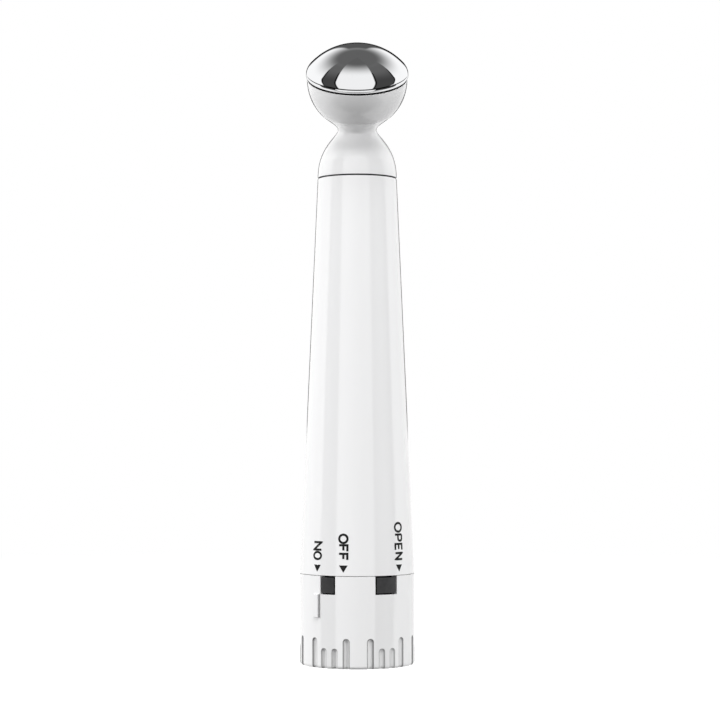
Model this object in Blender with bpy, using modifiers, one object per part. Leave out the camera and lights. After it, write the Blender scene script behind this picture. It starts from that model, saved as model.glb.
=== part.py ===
"""Eye massager pen with a chromed massage dome, a vibrating motor and a twist cap.

The pen stands on its cap: origin at the centre of the cap's flat bottom, +Z up, and
the side that carries the control marks faces -Y.  All lengths are in metres.
Angles called "azimuth" are counted from the front (-Y) towards +X.
"""

import math

import bmesh
import bpy
from mathutils import Matrix, Vector

# Clearances shared by the whole pen
SEAT_GAP = 0.0003
CUT_OVERRUN = 0.001
FUSE_DEPTH = 0.0005
MERGE_DISTANCE = 0.000005

# Twist cap
CAP_RADIUS = 0.0118
CAP_HEIGHT = 0.0185
CAP_WALL = 0.0016
CAP_FLOOR = 0.0016
CAP_EDGE_RADIUS = 0.0006
FLUTE_WIDTH = 0.0012
FLUTE_DEPTH = 0.0005
FLUTE_LONG = 0.0061
FLUTE_SHORT = 0.0041
FLUTE_SECTORS = 6
FLUTE_SLOTS = 5
POINTER_AZIMUTH = -43.8
POINTER_WIDTH = 0.0014
POINTER_LENGTH = 0.0047
POINTER_RELIEF = 0.00035
WINDOW_HEIGHT = 0.0036
WINDOW_AZIMUTHS = ((-39.1, -22.0), (18.2, 43.1))
LEDGE_HEIGHT = 0.0014
LEDGE_REACH = 0.0009
LEDGE_AZIMUTHS = (-75.0, -15.5)
CLIP_HEIGHT = 0.0006
CLIP_REACH = 0.0008
CLIP_SPAN = 12.0
CLIP_COUNT = 3

# Twist travel, from ON (as built) through OFF to OPEN, in degrees
TURN_TRAVEL = 92.0

# Fixed bayonet collar and the switch ring that turns round it
COLLAR_RADIUS = 0.0086
COLLAR_WALL = 0.0011
COLLAR_FLANGE = 0.0023
COLLAR_FOOT_CLEARANCE = 0.0024
STOP_HEIGHT = 0.0005
STOP_REACH = 0.00045
LUG_HEIGHT = 0.0017
LUG_REACH = 0.0013
LUG_SPAN = 28.0
LUG_AZIMUTHS = (90.0, 270.0)
RING_WALL = 0.0010
RING_HEIGHT = 0.0081
PEG_AZIMUTH = 230.0
PEG_SPAN = 8.0
PEG_HEIGHT = 0.0018
PEG_REACH = 0.0009
PEG_PLAY = 2.0

# Tapered handle
HANDLE_LENGTH = 0.08124
HANDLE_TOP_RADIUS = 0.0082
HANDLE_WALL = 0.0016
GASKET_WIDTH = 0.0008
GASKET_HEIGHT = 0.00045

# Neck and cup of the head
SHOULDER_HEIGHT = 0.01026
WAIST_RADIUS = 0.0042
CUP_DEPTH = 0.0110
CUP_RIM_STEP = 0.00016
HEAD_WALL = 0.0014
HEAD_TILT = math.radians(29.0)
BEND_START = 0.00566
BEND_LENGTH = 0.0060
SPIGOT_LENGTH = 0.0060
SPIGOT_WALL = 0.0012
WEB_OFFSET = 0.0014
WEB_THICKNESS = 0.0012
SHOULDER_PULL_SHARES = (0.56, 0.16)
CUP_PULL_SHARES = (0.18, 0.77)

# Massage dome and its screw
DOME_RADIUS = 0.01046
CROWN_ANGLE = math.radians(48)
FLANK_RADIUS = 0.00269
FLANK_ANGLE = math.radians(80)
FLANK_FOOT = 0.00100
BEAD_SETBACK = 0.00046
BEAD_RADIUS = 0.00048
BEAD_ANGLE = math.radians(50)
DOME_WALL = 0.0012
SKIRT_DEPTH = 0.0013
SKIRT_WALL = 0.0010
BOSS_RADIUS = 0.0024
SCREW_RADIUS = 0.0008
SCREW_HEAD_RADIUS = 0.0016
SCREW_HEAD_HEIGHT = 0.0010
SCREW_GRIP = 0.0045

# Vibration motor
MOTOR_INSET = 0.0013
MOTOR_FLAT_SHARE = 0.8
MOTOR_CAN_LENGTH = 0.0100
MOTOR_CAP_LENGTH = 0.0026
BUSH_RADIUS = 0.0015
BUSH_LENGTH = 0.0010
SHAFT_RADIUS = 0.0005
SHAFT_LENGTH = 0.0094
WEIGHT_CLEARANCE = 0.0008
WEIGHT_HUB_RADIUS = 0.0017
WEIGHT_LENGTH = 0.0052
TERMINAL_WIDTH = 0.0014
TERMINAL_THICKNESS = 0.0004
TERMINAL_LENGTH = 0.0024
TERMINAL_SPACING = 0.0048
SLEEVE_OVERLAP = 0.0013

# Battery and its holder
CELL_RADIUS = 0.00525
CELL_LENGTH = 0.0445
CELL_BASE_HEIGHT = 0.0085
CELL_EDGE_RADIUS = 0.0005
NUB_RADIUS = 0.0019
NUB_HEIGHT = 0.0009
HOLDER_WALL = 0.0008
HOLDER_FLANGE = 0.0010
HOLDER_END_WALL = 0.0010
HOLDER_END_ROOM = 0.0022
HOLDER_WINDOW_WIDTH = 0.0060
HOLDER_WINDOW_LENGTH = 0.0220
FIN_THICKNESS = 0.0010
FIN_AZIMUTHS = (45.0, 135.0, 225.0, 315.0)

# Contacts, spring and wires
STRIP_WIDTH = 0.0030
STRIP_THICKNESS = 0.0003
STRIP_FOOT = 0.0014
CONTACT_DISC_RADIUS = 0.0042
CONTACT_THICKNESS = 0.0004
DIMPLE_RADIUS = 0.0016
TAIL_WIDTH = 0.0020
TAIL_OFFSET = 0.0032
TAIL_LENGTH = 0.0030
PLATE_THICKNESS = 0.0004
TONGUE_RISE = 0.0004
TONGUE_SPAN = 22.0
SPRING_WIRE_RADIUS = 0.0003
SPRING_BASE_RADIUS = 0.0046
SPRING_TOP_RADIUS = 0.0024
SPRING_TURNS = 4.5
WIRE_RADIUS = 0.00045
WIRE_BOW_POSITIVE = 0.00135
WIRE_BOW_NEGATIVE = 0.0009

# Facets of round pieces
COARSE_STEPS = 20
MEDIUM_STEPS = 36
FINE_STEPS = 60
HEAD_STEPS = 40
COIL_POINTS_PER_TURN = 9
WIRE_POINTS = 14

# Radii of the head worked out from the dome's outer radius
DOME_CROWN_RADIUS = (DOME_RADIUS - FLANK_RADIUS * (math.sin(FLANK_ANGLE) - math.sin(CROWN_ANGLE))
                     ) / math.sin(CROWN_ANGLE)
DOME_HEIGHT = (FLANK_FOOT + DOME_CROWN_RADIUS * (1 - math.cos(CROWN_ANGLE))
               + FLANK_RADIUS * (math.cos(CROWN_ANGLE) - math.cos(FLANK_ANGLE)))
CUP_RIM_RADIUS = DOME_RADIUS - CUP_RIM_STEP

# Heights worked out from the sizes above
HANDLE_BASE = CAP_HEIGHT + SEAT_GAP
HANDLE_TOP = HANDLE_BASE + HANDLE_LENGTH
HEAD_BASE = HANDLE_TOP + SEAT_GAP
WAIST_LEVEL = HEAD_BASE + SHOULDER_HEIGHT
RIM_LEVEL = WAIST_LEVEL + CUP_DEPTH
WEB_LEVEL = WAIST_LEVEL + WEB_OFFSET
SPIGOT_END = HEAD_BASE - SPIGOT_LENGTH
SPIGOT_RADIUS = HANDLE_TOP_RADIUS - HANDLE_WALL - SEAT_GAP
SPIGOT_BORE = SPIGOT_RADIUS - SPIGOT_WALL
MOTOR_RADIUS = SPIGOT_RADIUS - MOTOR_INSET
MOTOR_FLAT_WIDTH = 2 * MOTOR_RADIUS * MOTOR_FLAT_SHARE
WEIGHT_RADIUS = SPIGOT_BORE - WEIGHT_CLEARANCE
CAP_BORE = CAP_RADIUS - CAP_WALL
RING_OUTER = CAP_BORE - SEAT_GAP
RING_INNER = RING_OUTER - RING_WALL
RING_TOP = CAP_HEIGHT - SEAT_GAP / 2
RING_BASE = RING_TOP - RING_HEIGHT
COLLAR_FLANGE_BASE = RING_TOP + SEAT_GAP
COLLAR_TOP = COLLAR_FLANGE_BASE + COLLAR_FLANGE
COLLAR_FOOT = CAP_FLOOR + COLLAR_FOOT_CLEARANCE
COLLAR_BORE = COLLAR_RADIUS - COLLAR_WALL
LEDGE_TOP = RING_BASE - SEAT_GAP
LEDGE_BASE = LEDGE_TOP - LEDGE_HEIGHT
LUG_TOP = LEDGE_BASE - SEAT_GAP
PLATE_BASE = CAP_FLOOR + SEAT_GAP
PLATE_TOP = PLATE_BASE + PLATE_THICKNESS
PLATE_RADIUS = CAP_BORE - SEAT_GAP
CELL_TOP = CELL_BASE_HEIGHT + CELL_LENGTH
HOLDER_BASE = COLLAR_TOP + SEAT_GAP
HOLDER_BORE = CELL_RADIUS + SEAT_GAP
HOLDER_RADIUS = HOLDER_BORE + HOLDER_WALL
HOLDER_END = CELL_TOP + HOLDER_END_ROOM
HOLDER_TOP = HOLDER_END + HOLDER_END_WALL
STRIP_INNER = HOLDER_RADIUS + SEAT_GAP
SLEEVE_TOP = SPIGOT_END - SEAT_GAP
MOTOR_CAN_TOP = SLEEVE_TOP - SEAT_GAP - BUSH_LENGTH
MOTOR_CAN_BASE = MOTOR_CAN_TOP - MOTOR_CAN_LENGTH
MOTOR_CAP_TOP = MOTOR_CAN_BASE - SEAT_GAP
MOTOR_CAP_BASE = MOTOR_CAP_TOP - MOTOR_CAP_LENGTH
SLEEVE_BASE = MOTOR_CAP_BASE + SLEEVE_OVERLAP
SHAFT_BASE = MOTOR_CAN_TOP + SEAT_GAP + SEAT_GAP
TERMINAL_TOP = MOTOR_CAP_BASE - SEAT_GAP

for old_object in list(bpy.data.objects):
    bpy.data.objects.remove(old_object)
part_collection = bpy.data.collections.new("eye_massager")
cutter_collection = bpy.data.collections.new("eye_massager_cutters")
bpy.context.scene.collection.children.link(part_collection)
bpy.context.scene.collection.children.link(cutter_collection)


def finish_material(name, colour, roughness, metallic=0.0):
    """Return a Principled material."""
    material = bpy.data.materials.new(name)
    material.use_nodes = True
    shader = material.node_tree.nodes["Principled BSDF"]
    shader.inputs["Base Color"].default_value = (*colour, 1.0)
    shader.inputs["Roughness"].default_value = roughness
    shader.inputs["Metallic"].default_value = metallic
    return material


def add_object(name, mesh, material=None):
    """Link a mesh as a part of the pen, or as a cutter when it has no material."""
    obj = bpy.data.objects.new(name, mesh)
    if material is None:
        cutter_collection.objects.link(obj)
        obj.hide_render = True
        obj.display_type = "WIRE"
    else:
        part_collection.objects.link(obj)
        mesh.materials.append(material)
    return obj


def turned(name, outline, steps, material=None):
    """Turn an (r, z) outline round the Z axis; its outer side runs from top to bottom.

    An outline that starts and ends on the axis stays open, any other is closed.
    """
    count = len(outline)
    edges = [(index, index + 1) for index in range(count - 1)]
    if outline[0][0] > 0 or outline[-1][0] > 0:
        edges.append((count - 1, 0))
    mesh = bpy.data.meshes.new(name)
    mesh.from_pydata([(r, 0, z) for r, z in outline], edges, [])
    obj = add_object(name, mesh, material)
    screw = obj.modifiers.new("turn", "SCREW")
    screw.axis = "Z"
    screw.steps = steps
    screw.render_steps = steps
    screw.use_merge_vertices = True
    screw.merge_threshold = MERGE_DISTANCE
    screw.use_smooth_shade = True
    return obj


def solid_mesh(obj):
    """Return the evaluated mesh of an object with its doubled points welded."""
    evaluated = obj.evaluated_get(bpy.context.evaluated_depsgraph_get())
    mesh = bpy.data.meshes.new_from_object(evaluated)
    work = bmesh.new()
    work.from_mesh(mesh)
    bmesh.ops.remove_doubles(work, verts=work.verts, dist=MERGE_DISTANCE)
    work.to_mesh(mesh)
    work.free()
    return mesh


def meshed(curve_object, material=None):
    """Replace a curve object by the same shape as a closed mesh."""
    bpy.context.view_layer.update()
    mesh = solid_mesh(curve_object)
    mesh.materials.clear()
    place = curve_object.matrix_world.copy()
    name = curve_object.name
    bpy.data.objects.remove(curve_object)
    obj = add_object(name, mesh, material)
    obj.name = name
    obj.matrix_world = place
    return obj


def plate(name, outline, thickness, place=None, material=None):
    """Extrude a flat (x, y) outline by a thickness, centred on z = 0 before it is placed."""
    curve = bpy.data.curves.new(name, "CURVE")
    curve.dimensions = "2D"
    curve.fill_mode = "BOTH"
    curve.extrude = thickness / 2
    spline = curve.splines.new("POLY")
    spline.points.add(len(outline) - 1)
    for point, (x, y) in zip(spline.points, outline):
        point.co = (x, y, 0, 1)
    spline.use_cyclic_u = True
    obj = bpy.data.objects.new(name, curve)
    cutter_collection.objects.link(obj)
    obj.matrix_world = place or Matrix.Identity(4)
    return meshed(obj, material)


def tube(name, points, radius, resolution, material):
    """Run a round bar with flat ends through a list of points."""
    curve = bpy.data.curves.new(name, "CURVE")
    curve.dimensions = "3D"
    curve.bevel_depth = radius
    curve.bevel_resolution = resolution
    curve.use_fill_caps = True
    spline = curve.splines.new("POLY")
    spline.points.add(len(points) - 1)
    for point, place in zip(spline.points, points):
        point.co = (*place, 1)
    obj = bpy.data.objects.new(name, curve)
    part_collection.objects.link(obj)
    curve.materials.append(material)
    return obj


def arc(centre, radius, start, end, segments):
    """Return the points of an arc, its angles in radians from the +r axis."""
    turn = (end - start) / segments
    angles = [start + turn * index for index in range(segments + 1)]
    return [(centre[0] + radius * math.cos(a), centre[1] + radius * math.sin(a)) for a in angles]


def bezier(start, start_pull, end_pull, end, segments):
    """Return the points of a cubic Bezier curve."""
    points = []
    for index in range(segments + 1):
        t = index / segments
        weights = ((1 - t) ** 3, 3 * t * (1 - t) ** 2, 3 * t * t * (1 - t), t ** 3)
        corners = (start, start_pull, end_pull, end)
        points.append(tuple(sum(w * c[axis] for w, c in zip(weights, corners)) for axis in (0, 1)))
    return points


def inset(points, distance):
    """Shift a curve that runs upwards towards the axis by a distance square to it."""
    shifted = []
    for index, (r, z) in enumerate(points):
        before = points[max(index - 1, 0)]
        after = points[min(index + 1, len(points) - 1)]
        along = Vector((after[0] - before[0], after[1] - before[1])).normalized()
        shifted.append((r - along.y * distance, z + along.x * distance))
    return shifted


def sector_outline(inner, outer, start, end):
    """Return the outline of a ring sector between two azimuths in degrees."""
    segments = max(2, round((end - start) / 4))
    turn = (end - start) / segments
    angles = [math.radians(start + turn * index) for index in range(segments + 1)]
    outside = [(outer * math.sin(a), -outer * math.cos(a)) for a in angles]
    inside = [(inner * math.sin(a), -inner * math.cos(a)) for a in reversed(angles)]
    return outside + inside


def sector(name, inner, outer, azimuths, base, top, material=None):
    """Make an upright ring sector between two radii, two azimuths and two heights."""
    place = Matrix.Translation((0, 0, (base + top) / 2))
    outline = sector_outline(inner, outer, azimuths[0], azimuths[1])
    return plate(name, outline, top - base, place, material)


def block(name, size, place, material=None):
    """Make a box of a given size from the unit cube, at a place matrix."""
    work = bmesh.new()
    bmesh.ops.create_cube(work, size=1, matrix=Matrix.Diagonal((*size, 1)))
    mesh = bpy.data.meshes.new(name)
    work.to_mesh(mesh)
    work.free()
    obj = add_object(name, mesh, material)
    obj.matrix_world = place
    return obj


def azimuth_place(azimuth, radius, height):
    """Return the frame at an azimuth whose +X points outwards and +Z up."""
    turn = Matrix.Rotation(math.radians(azimuth - 90), 4, "Z")
    return turn @ Matrix.Translation((radius, 0, height))


def boolean(target, tool, operation):
    """Cut a tool from a target, or fuse it to the target."""
    change = target.modifiers.new(tool.name, "BOOLEAN")
    change.operation = operation
    change.object = tool


def handle_bore(height):
    """Return the radius of the tapered bore of the handle at a height."""
    share = (height - HANDLE_BASE) / HANDLE_LENGTH
    return CAP_RADIUS + (HANDLE_TOP_RADIUS - CAP_RADIUS) * share - HANDLE_WALL


def bend_to_head(point):
    """Carry a point of the straight head onto the neck that leans forward.

    Below the bend nothing moves, inside it the centre line follows an arc of constant
    radius, and above it everything follows the straight tilted axis.
    """
    bend_radius = BEND_LENGTH / HEAD_TILT
    start = HEAD_BASE + BEND_START
    along = min(max(point.z - start, 0), BEND_LENGTH)
    beyond = max(point.z - start - BEND_LENGTH, 0)
    tilt = along / bend_radius
    centre_y = -bend_radius * (1 - math.cos(tilt)) - beyond * math.sin(tilt)
    centre_z = min(point.z, start) + bend_radius * math.sin(tilt) + beyond * math.cos(tilt)
    return Vector((point.x, centre_y + point.y * math.cos(tilt), centre_z + point.y * math.sin(tilt)))


def flute_cutters():
    """Make every flute of the cap's grip as one set of round-nosed rods.

    Each sixth of the cap has four flutes, long, short, short and long, and a blank
    fifth place, and the flutes run out through the cap's bottom edge.
    """
    cutter_radius = (FLUTE_WIDTH ** 2 / 4 + FLUTE_DEPTH ** 2) / (2 * FLUTE_DEPTH)
    axis_radius = CAP_RADIUS + cutter_radius - FLUTE_DEPTH
    pitch = 360 / (FLUTE_SECTORS * FLUTE_SLOTS)
    rods = bmesh.new()
    for place in range(FLUTE_SECTORS * FLUTE_SLOTS):
        slot = place % FLUTE_SLOTS
        if slot == 0:
            continue
        height = FLUTE_LONG if slot in (1, FLUTE_SLOTS - 1) else FLUTE_SHORT
        nose = arc((0, height - cutter_radius), cutter_radius, math.pi / 2, 0, 3)
        profile = nose + [(cutter_radius, -CUT_OVERRUN), (0, -CUT_OVERRUN)]
        rod = turned("flute_cutter", profile, 12)
        mesh = solid_mesh(rod)
        bpy.data.objects.remove(rod)
        mesh.transform(azimuth_place(place * pitch, axis_radius, 0))
        rods.from_mesh(mesh)
    mesh = bpy.data.meshes.new("flute_cutters")
    rods.to_mesh(mesh)
    rods.free()
    return add_object("flute_cutters", mesh)


def build_cap(white):
    """Twist cap: fluted cup with two windows, a pointer rib, bayonet ledges and clips."""
    edge = arc((CAP_RADIUS - CAP_EDGE_RADIUS, CAP_EDGE_RADIUS), CAP_EDGE_RADIUS, 0, -math.pi / 2, 3)
    outline = [(CAP_BORE, CAP_HEIGHT), (CAP_RADIUS, CAP_HEIGHT)] + edge
    outline += [(0, 0)]
    inside = [(0, CAP_FLOOR), (CAP_BORE, CAP_FLOOR)]
    shell = turned("cap_shell", outline + inside, FINE_STEPS, white)
    boolean(shell, flute_cutters(), "DIFFERENCE")
    wall = (CAP_BORE - CUT_OVERRUN, CAP_RADIUS + CUT_OVERRUN)
    for number, azimuths in enumerate(WINDOW_AZIMUTHS):
        window = sector(f"window_cutter_{number}", *wall, azimuths,
                        CAP_HEIGHT - WINDOW_HEIGHT, CAP_HEIGHT + CUT_OVERRUN)
        boolean(shell, window, "DIFFERENCE")
    fused = CAP_BORE + FUSE_DEPTH
    for number, lug in enumerate(LUG_AZIMUTHS):
        azimuths = [lug + azimuth for azimuth in LEDGE_AZIMUTHS]
        ledge = sector(f"ledge_{number}", CAP_BORE - LEDGE_REACH, fused, azimuths, LEDGE_BASE, LEDGE_TOP)
        boolean(shell, ledge, "UNION")
    clip_base = PLATE_TOP + SEAT_GAP
    for number in range(CLIP_COUNT):
        centre = 360 * number / CLIP_COUNT
        azimuths = (centre - CLIP_SPAN / 2, centre + CLIP_SPAN / 2)
        clip = sector(f"clip_{number}", CAP_BORE - CLIP_REACH, fused, azimuths,
                      clip_base, clip_base + CLIP_HEIGHT)
        boolean(shell, clip, "UNION")
    pointer_depth = POINTER_RELIEF + FUSE_DEPTH
    pointer_radius = CAP_RADIUS + POINTER_RELIEF - pointer_depth / 2
    pointer_height = CAP_HEIGHT - WINDOW_HEIGHT - POINTER_LENGTH / 2
    pointer = block("pointer_rib", (pointer_depth, POINTER_WIDTH, POINTER_LENGTH),
                    azimuth_place(POINTER_AZIMUTH, pointer_radius, pointer_height))
    boolean(shell, pointer, "UNION")


def build_spring_plate(metal):
    """Spring plate: disc on the cap's floor with a raised tongue that meets the strip."""
    outline = [(0, PLATE_TOP), (PLATE_RADIUS, PLATE_TOP), (PLATE_RADIUS, PLATE_BASE), (0, PLATE_BASE)]
    disc = turned("spring_plate", outline, MEDIUM_STEPS, metal)
    inner = STRIP_INNER + STRIP_THICKNESS
    azimuths = (180 - TONGUE_SPAN / 2, 180 + TONGUE_SPAN / 2)
    tongue = sector("tongue", inner, inner + STRIP_FOOT, azimuths,
                    PLATE_BASE + PLATE_THICKNESS / 2, PLATE_TOP + TONGUE_RISE)
    boolean(disc, tongue, "UNION")


def build_spring(metal):
    """Negative spring: a conical coil that stands on the plate and carries the cell."""
    base = PLATE_TOP + SEAT_GAP + SPRING_WIRE_RADIUS
    top = CELL_BASE_HEIGHT - SEAT_GAP - SPRING_WIRE_RADIUS
    count = round(SPRING_TURNS * COIL_POINTS_PER_TURN)
    points = []
    for index in range(count + 1):
        share = index / count
        angle = 2 * math.pi * SPRING_TURNS * share
        radius = SPRING_BASE_RADIUS + (SPRING_TOP_RADIUS - SPRING_BASE_RADIUS) * share
        height = base + (top - base) * share
        points.append(Vector((radius * math.cos(angle), radius * math.sin(angle), height)))
    near = COIL_POINTS_PER_TURN // 2
    pairs = [(a, b) for i, a in enumerate(points) for b in points[i + near:]]
    least = min((a - b).length for a, b in pairs) - 2 * SPRING_WIRE_RADIUS
    print(f"negative_spring: least gap between turns {least * 1000:.2f} mm")
    tube("negative_spring", points, SPRING_WIRE_RADIUS, 1, metal)


def build_switch_ring(black):
    """Switch ring: keyed to the cap by two tabs of unequal width that fill its windows."""
    outline = [(RING_INNER, RING_TOP), (RING_OUTER, RING_TOP), (RING_OUTER, RING_BASE),
               (RING_INNER, RING_BASE)]
    ring = turned("switch_ring", outline, FINE_STEPS, black)
    play = math.degrees(SEAT_GAP / CAP_RADIUS)
    for number, (start, end) in enumerate(WINDOW_AZIMUTHS):
        azimuths = (start + play, end - play)
        tab = sector(f"tab_{number}", RING_OUTER - FUSE_DEPTH, CAP_RADIUS, azimuths,
                     CAP_HEIGHT - WINDOW_HEIGHT + SEAT_GAP, RING_TOP)
        boolean(ring, tab, "UNION")
    reach = PEG_SPAN / 2 + PEG_PLAY
    azimuths = (PEG_AZIMUTH - TURN_TRAVEL - reach, PEG_AZIMUTH + reach)
    slot = sector("stop_slot_cutter", RING_INNER - CUT_OVERRUN, RING_OUTER + CUT_OVERRUN, azimuths,
                  RING_TOP - PEG_HEIGHT - SEAT_GAP, RING_TOP + CUT_OVERRUN)
    boolean(ring, slot, "DIFFERENCE")


def build_collar(black):
    """Bayonet collar: tube fixed in the handle's mouth, with two lugs, a stop rib and a stop peg."""
    stop_top = LEDGE_TOP
    stop_base = stop_top - STOP_HEIGHT
    stop_radius = COLLAR_RADIUS + STOP_REACH
    flange_radius = handle_bore(COLLAR_TOP) - SEAT_GAP
    outline = [(flange_radius, COLLAR_TOP), (flange_radius, COLLAR_FLANGE_BASE),
               (COLLAR_RADIUS, COLLAR_FLANGE_BASE), (COLLAR_RADIUS, stop_top), (stop_radius, stop_top),
               (stop_radius, stop_base), (COLLAR_RADIUS, stop_base), (COLLAR_RADIUS, COLLAR_FOOT),
               (COLLAR_BORE, COLLAR_FOOT), (COLLAR_BORE, COLLAR_TOP)]
    collar = turned("bayonet_collar", outline, FINE_STEPS, black)
    fused = COLLAR_RADIUS - FUSE_DEPTH
    for number, centre in enumerate(LUG_AZIMUTHS):
        azimuths = (centre - LUG_SPAN / 2, centre + LUG_SPAN / 2)
        lug = sector(f"lug_{number}", fused, COLLAR_RADIUS + LUG_REACH, azimuths,
                     LUG_TOP - LUG_HEIGHT, LUG_TOP)
        boolean(collar, lug, "UNION")
    azimuths = (PEG_AZIMUTH - PEG_SPAN / 2, PEG_AZIMUTH + PEG_SPAN / 2)
    peg = sector("stop_peg", fused, COLLAR_RADIUS + PEG_REACH, azimuths,
                 RING_TOP - PEG_HEIGHT, COLLAR_FLANGE_BASE + FUSE_DEPTH)
    boolean(collar, peg, "UNION")


def build_handle(white, rubber):
    """Tapered handle shell with a rebate at its top for the neck gasket."""
    bore_base = CAP_RADIUS - HANDLE_WALL
    gasket_inner = SPIGOT_RADIUS + SEAT_GAP
    gasket_outer = gasket_inner + GASKET_WIDTH
    rebate_radius = gasket_outer + SEAT_GAP
    gasket_base = HANDLE_TOP - GASKET_HEIGHT
    rebate_base = gasket_base - SEAT_GAP
    outline = [(rebate_radius, HANDLE_TOP), (HANDLE_TOP_RADIUS, HANDLE_TOP), (CAP_RADIUS, HANDLE_BASE),
               (bore_base, HANDLE_BASE), (handle_bore(rebate_base), rebate_base),
               (rebate_radius, rebate_base)]
    turned("handle_shell", outline, FINE_STEPS, white)
    ring = [(gasket_outer, HANDLE_TOP), (gasket_outer, gasket_base), (gasket_inner, gasket_base),
            (gasket_inner, HANDLE_TOP)]
    turned("neck_gasket", ring, FINE_STEPS, rubber)


def build_head(white):
    """Head housing: spigot, shoulder, waist and cup turned in one, then leaned forward."""
    shoulder_lift, waist_lift = [share * SHOULDER_HEIGHT for share in SHOULDER_PULL_SHARES]
    shoulder = bezier((HANDLE_TOP_RADIUS, HEAD_BASE), (HANDLE_TOP_RADIUS, HEAD_BASE + shoulder_lift),
                      (WAIST_RADIUS, WAIST_LEVEL - waist_lift), (WAIST_RADIUS, WAIST_LEVEL), 8)
    waist_drop, rim_drop = [share * CUP_DEPTH for share in CUP_PULL_SHARES]
    cup = bezier((WAIST_RADIUS, WAIST_LEVEL), (WAIST_RADIUS, WAIST_LEVEL + waist_drop),
                 (CUP_RIM_RADIUS, RIM_LEVEL - rim_drop), (CUP_RIM_RADIUS, RIM_LEVEL), 10)
    ledge = HEAD_BASE + SPIGOT_WALL
    web_top = WEB_LEVEL + WEB_THICKNESS
    throat = WAIST_RADIUS - HEAD_WALL
    hole = SCREW_RADIUS + SEAT_GAP + SEAT_GAP
    room = [point for point in inset(shoulder, HEAD_WALL) if point[1] > ledge]
    bowl = [point for point in inset(cup, HEAD_WALL) if point[1] > web_top]
    outline = list(reversed(shoulder + cup[1:]))
    outline += [(SPIGOT_RADIUS, HEAD_BASE), (SPIGOT_RADIUS, SPIGOT_END), (SPIGOT_BORE, SPIGOT_END),
                (SPIGOT_BORE, ledge)]
    outline += [(room[0][0], ledge)] + room + [(throat, WEB_LEVEL), (hole, WEB_LEVEL), (hole, web_top)]
    outline += [(bowl[0][0], web_top)] + bowl
    straight = turned("head_straight", outline, HEAD_STEPS)
    mesh = solid_mesh(straight)
    bpy.data.objects.remove(straight)
    for vertex in mesh.vertices:
        vertex.co = bend_to_head(vertex.co)
    mesh.shade_smooth()
    mesh.set_sharp_from_angle(angle=math.radians(35))
    add_object("head_housing", mesh, white)


def head_axis():
    """Return an empty on the cup's rim whose +Z is the tilted axis of the head."""
    empty = bpy.data.objects.new("head_axis", None)
    cutter_collection.objects.link(empty)
    empty.location = bend_to_head(Vector((0, 0, RIM_LEVEL + SEAT_GAP)))
    empty.rotation_euler = (HEAD_TILT, 0, 0)
    return empty


def build_dome(chrome, metal):
    """Massage dome with a bead at its foot, a skirt and a screw boss, and the screw from below."""
    axis = head_axis()
    crown_centre = (0, DOME_HEIGHT - DOME_CROWN_RADIUS)
    crown_end = math.pi / 2 - CROWN_ANGLE
    outline = arc(crown_centre, DOME_CROWN_RADIUS, math.pi / 2, crown_end, 7)
    outline[0] = (0, DOME_HEIGHT)
    offset = DOME_CROWN_RADIUS - FLANK_RADIUS
    flank_centre = (offset * math.cos(crown_end), crown_centre[1] + offset * math.sin(crown_end))
    outline += arc(flank_centre, FLANK_RADIUS, crown_end, math.pi / 2 - FLANK_ANGLE, 3)[1:]
    bead_centre = (DOME_RADIUS - BEAD_SETBACK, BEAD_RADIUS)
    outline += arc(bead_centre, BEAD_RADIUS, BEAD_ANGLE, -math.pi / 2, 4)
    skirt = CUP_RIM_RADIUS - HEAD_WALL - SEAT_GAP
    outline += [(skirt, 0), (skirt, -SKIRT_DEPTH), (skirt - SKIRT_WALL, -SKIRT_DEPTH)]
    inner_radius = DOME_CROWN_RADIUS - DOME_WALL
    skirt_angle = math.acos((skirt - SKIRT_WALL) / inner_radius)
    boss_angle = math.acos(BOSS_RADIUS / inner_radius)
    outline += arc(crown_centre, inner_radius, skirt_angle, boss_angle, 3)
    boss_end = WEB_LEVEL + WEB_THICKNESS - RIM_LEVEL
    hole = SCREW_RADIUS + SEAT_GAP
    hole_end = boss_end + SCREW_GRIP + SEAT_GAP
    outline += [(BOSS_RADIUS, boss_end), (hole, boss_end), (hole, hole_end), (0, hole_end)]
    dome = turned("massage_dome", outline, HEAD_STEPS, chrome)
    dome.parent = axis
    head_top = WEB_LEVEL - RIM_LEVEL - SEAT_GAP - SEAT_GAP
    tip = boss_end + SCREW_GRIP
    screw_outline = [(0, tip), (SCREW_RADIUS, tip - SCREW_RADIUS), (SCREW_RADIUS, head_top),
                     (SCREW_HEAD_RADIUS, head_top), (SCREW_HEAD_RADIUS, head_top - SCREW_HEAD_HEIGHT),
                     (0, head_top - SCREW_HEAD_HEIGHT)]
    screw = turned("dome_screw", screw_outline, COARSE_STEPS, metal)
    screw.parent = axis


def flatted_outline(radius, flat_half):
    """Return a round outline of a given radius with two flats square to Y."""
    limit = math.asin(flat_half / radius)
    right = arc((0, 0), radius, -limit, limit, 8)
    left = arc((0, 0), radius, math.pi - limit, math.pi + limit, 8)
    return right + left


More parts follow.
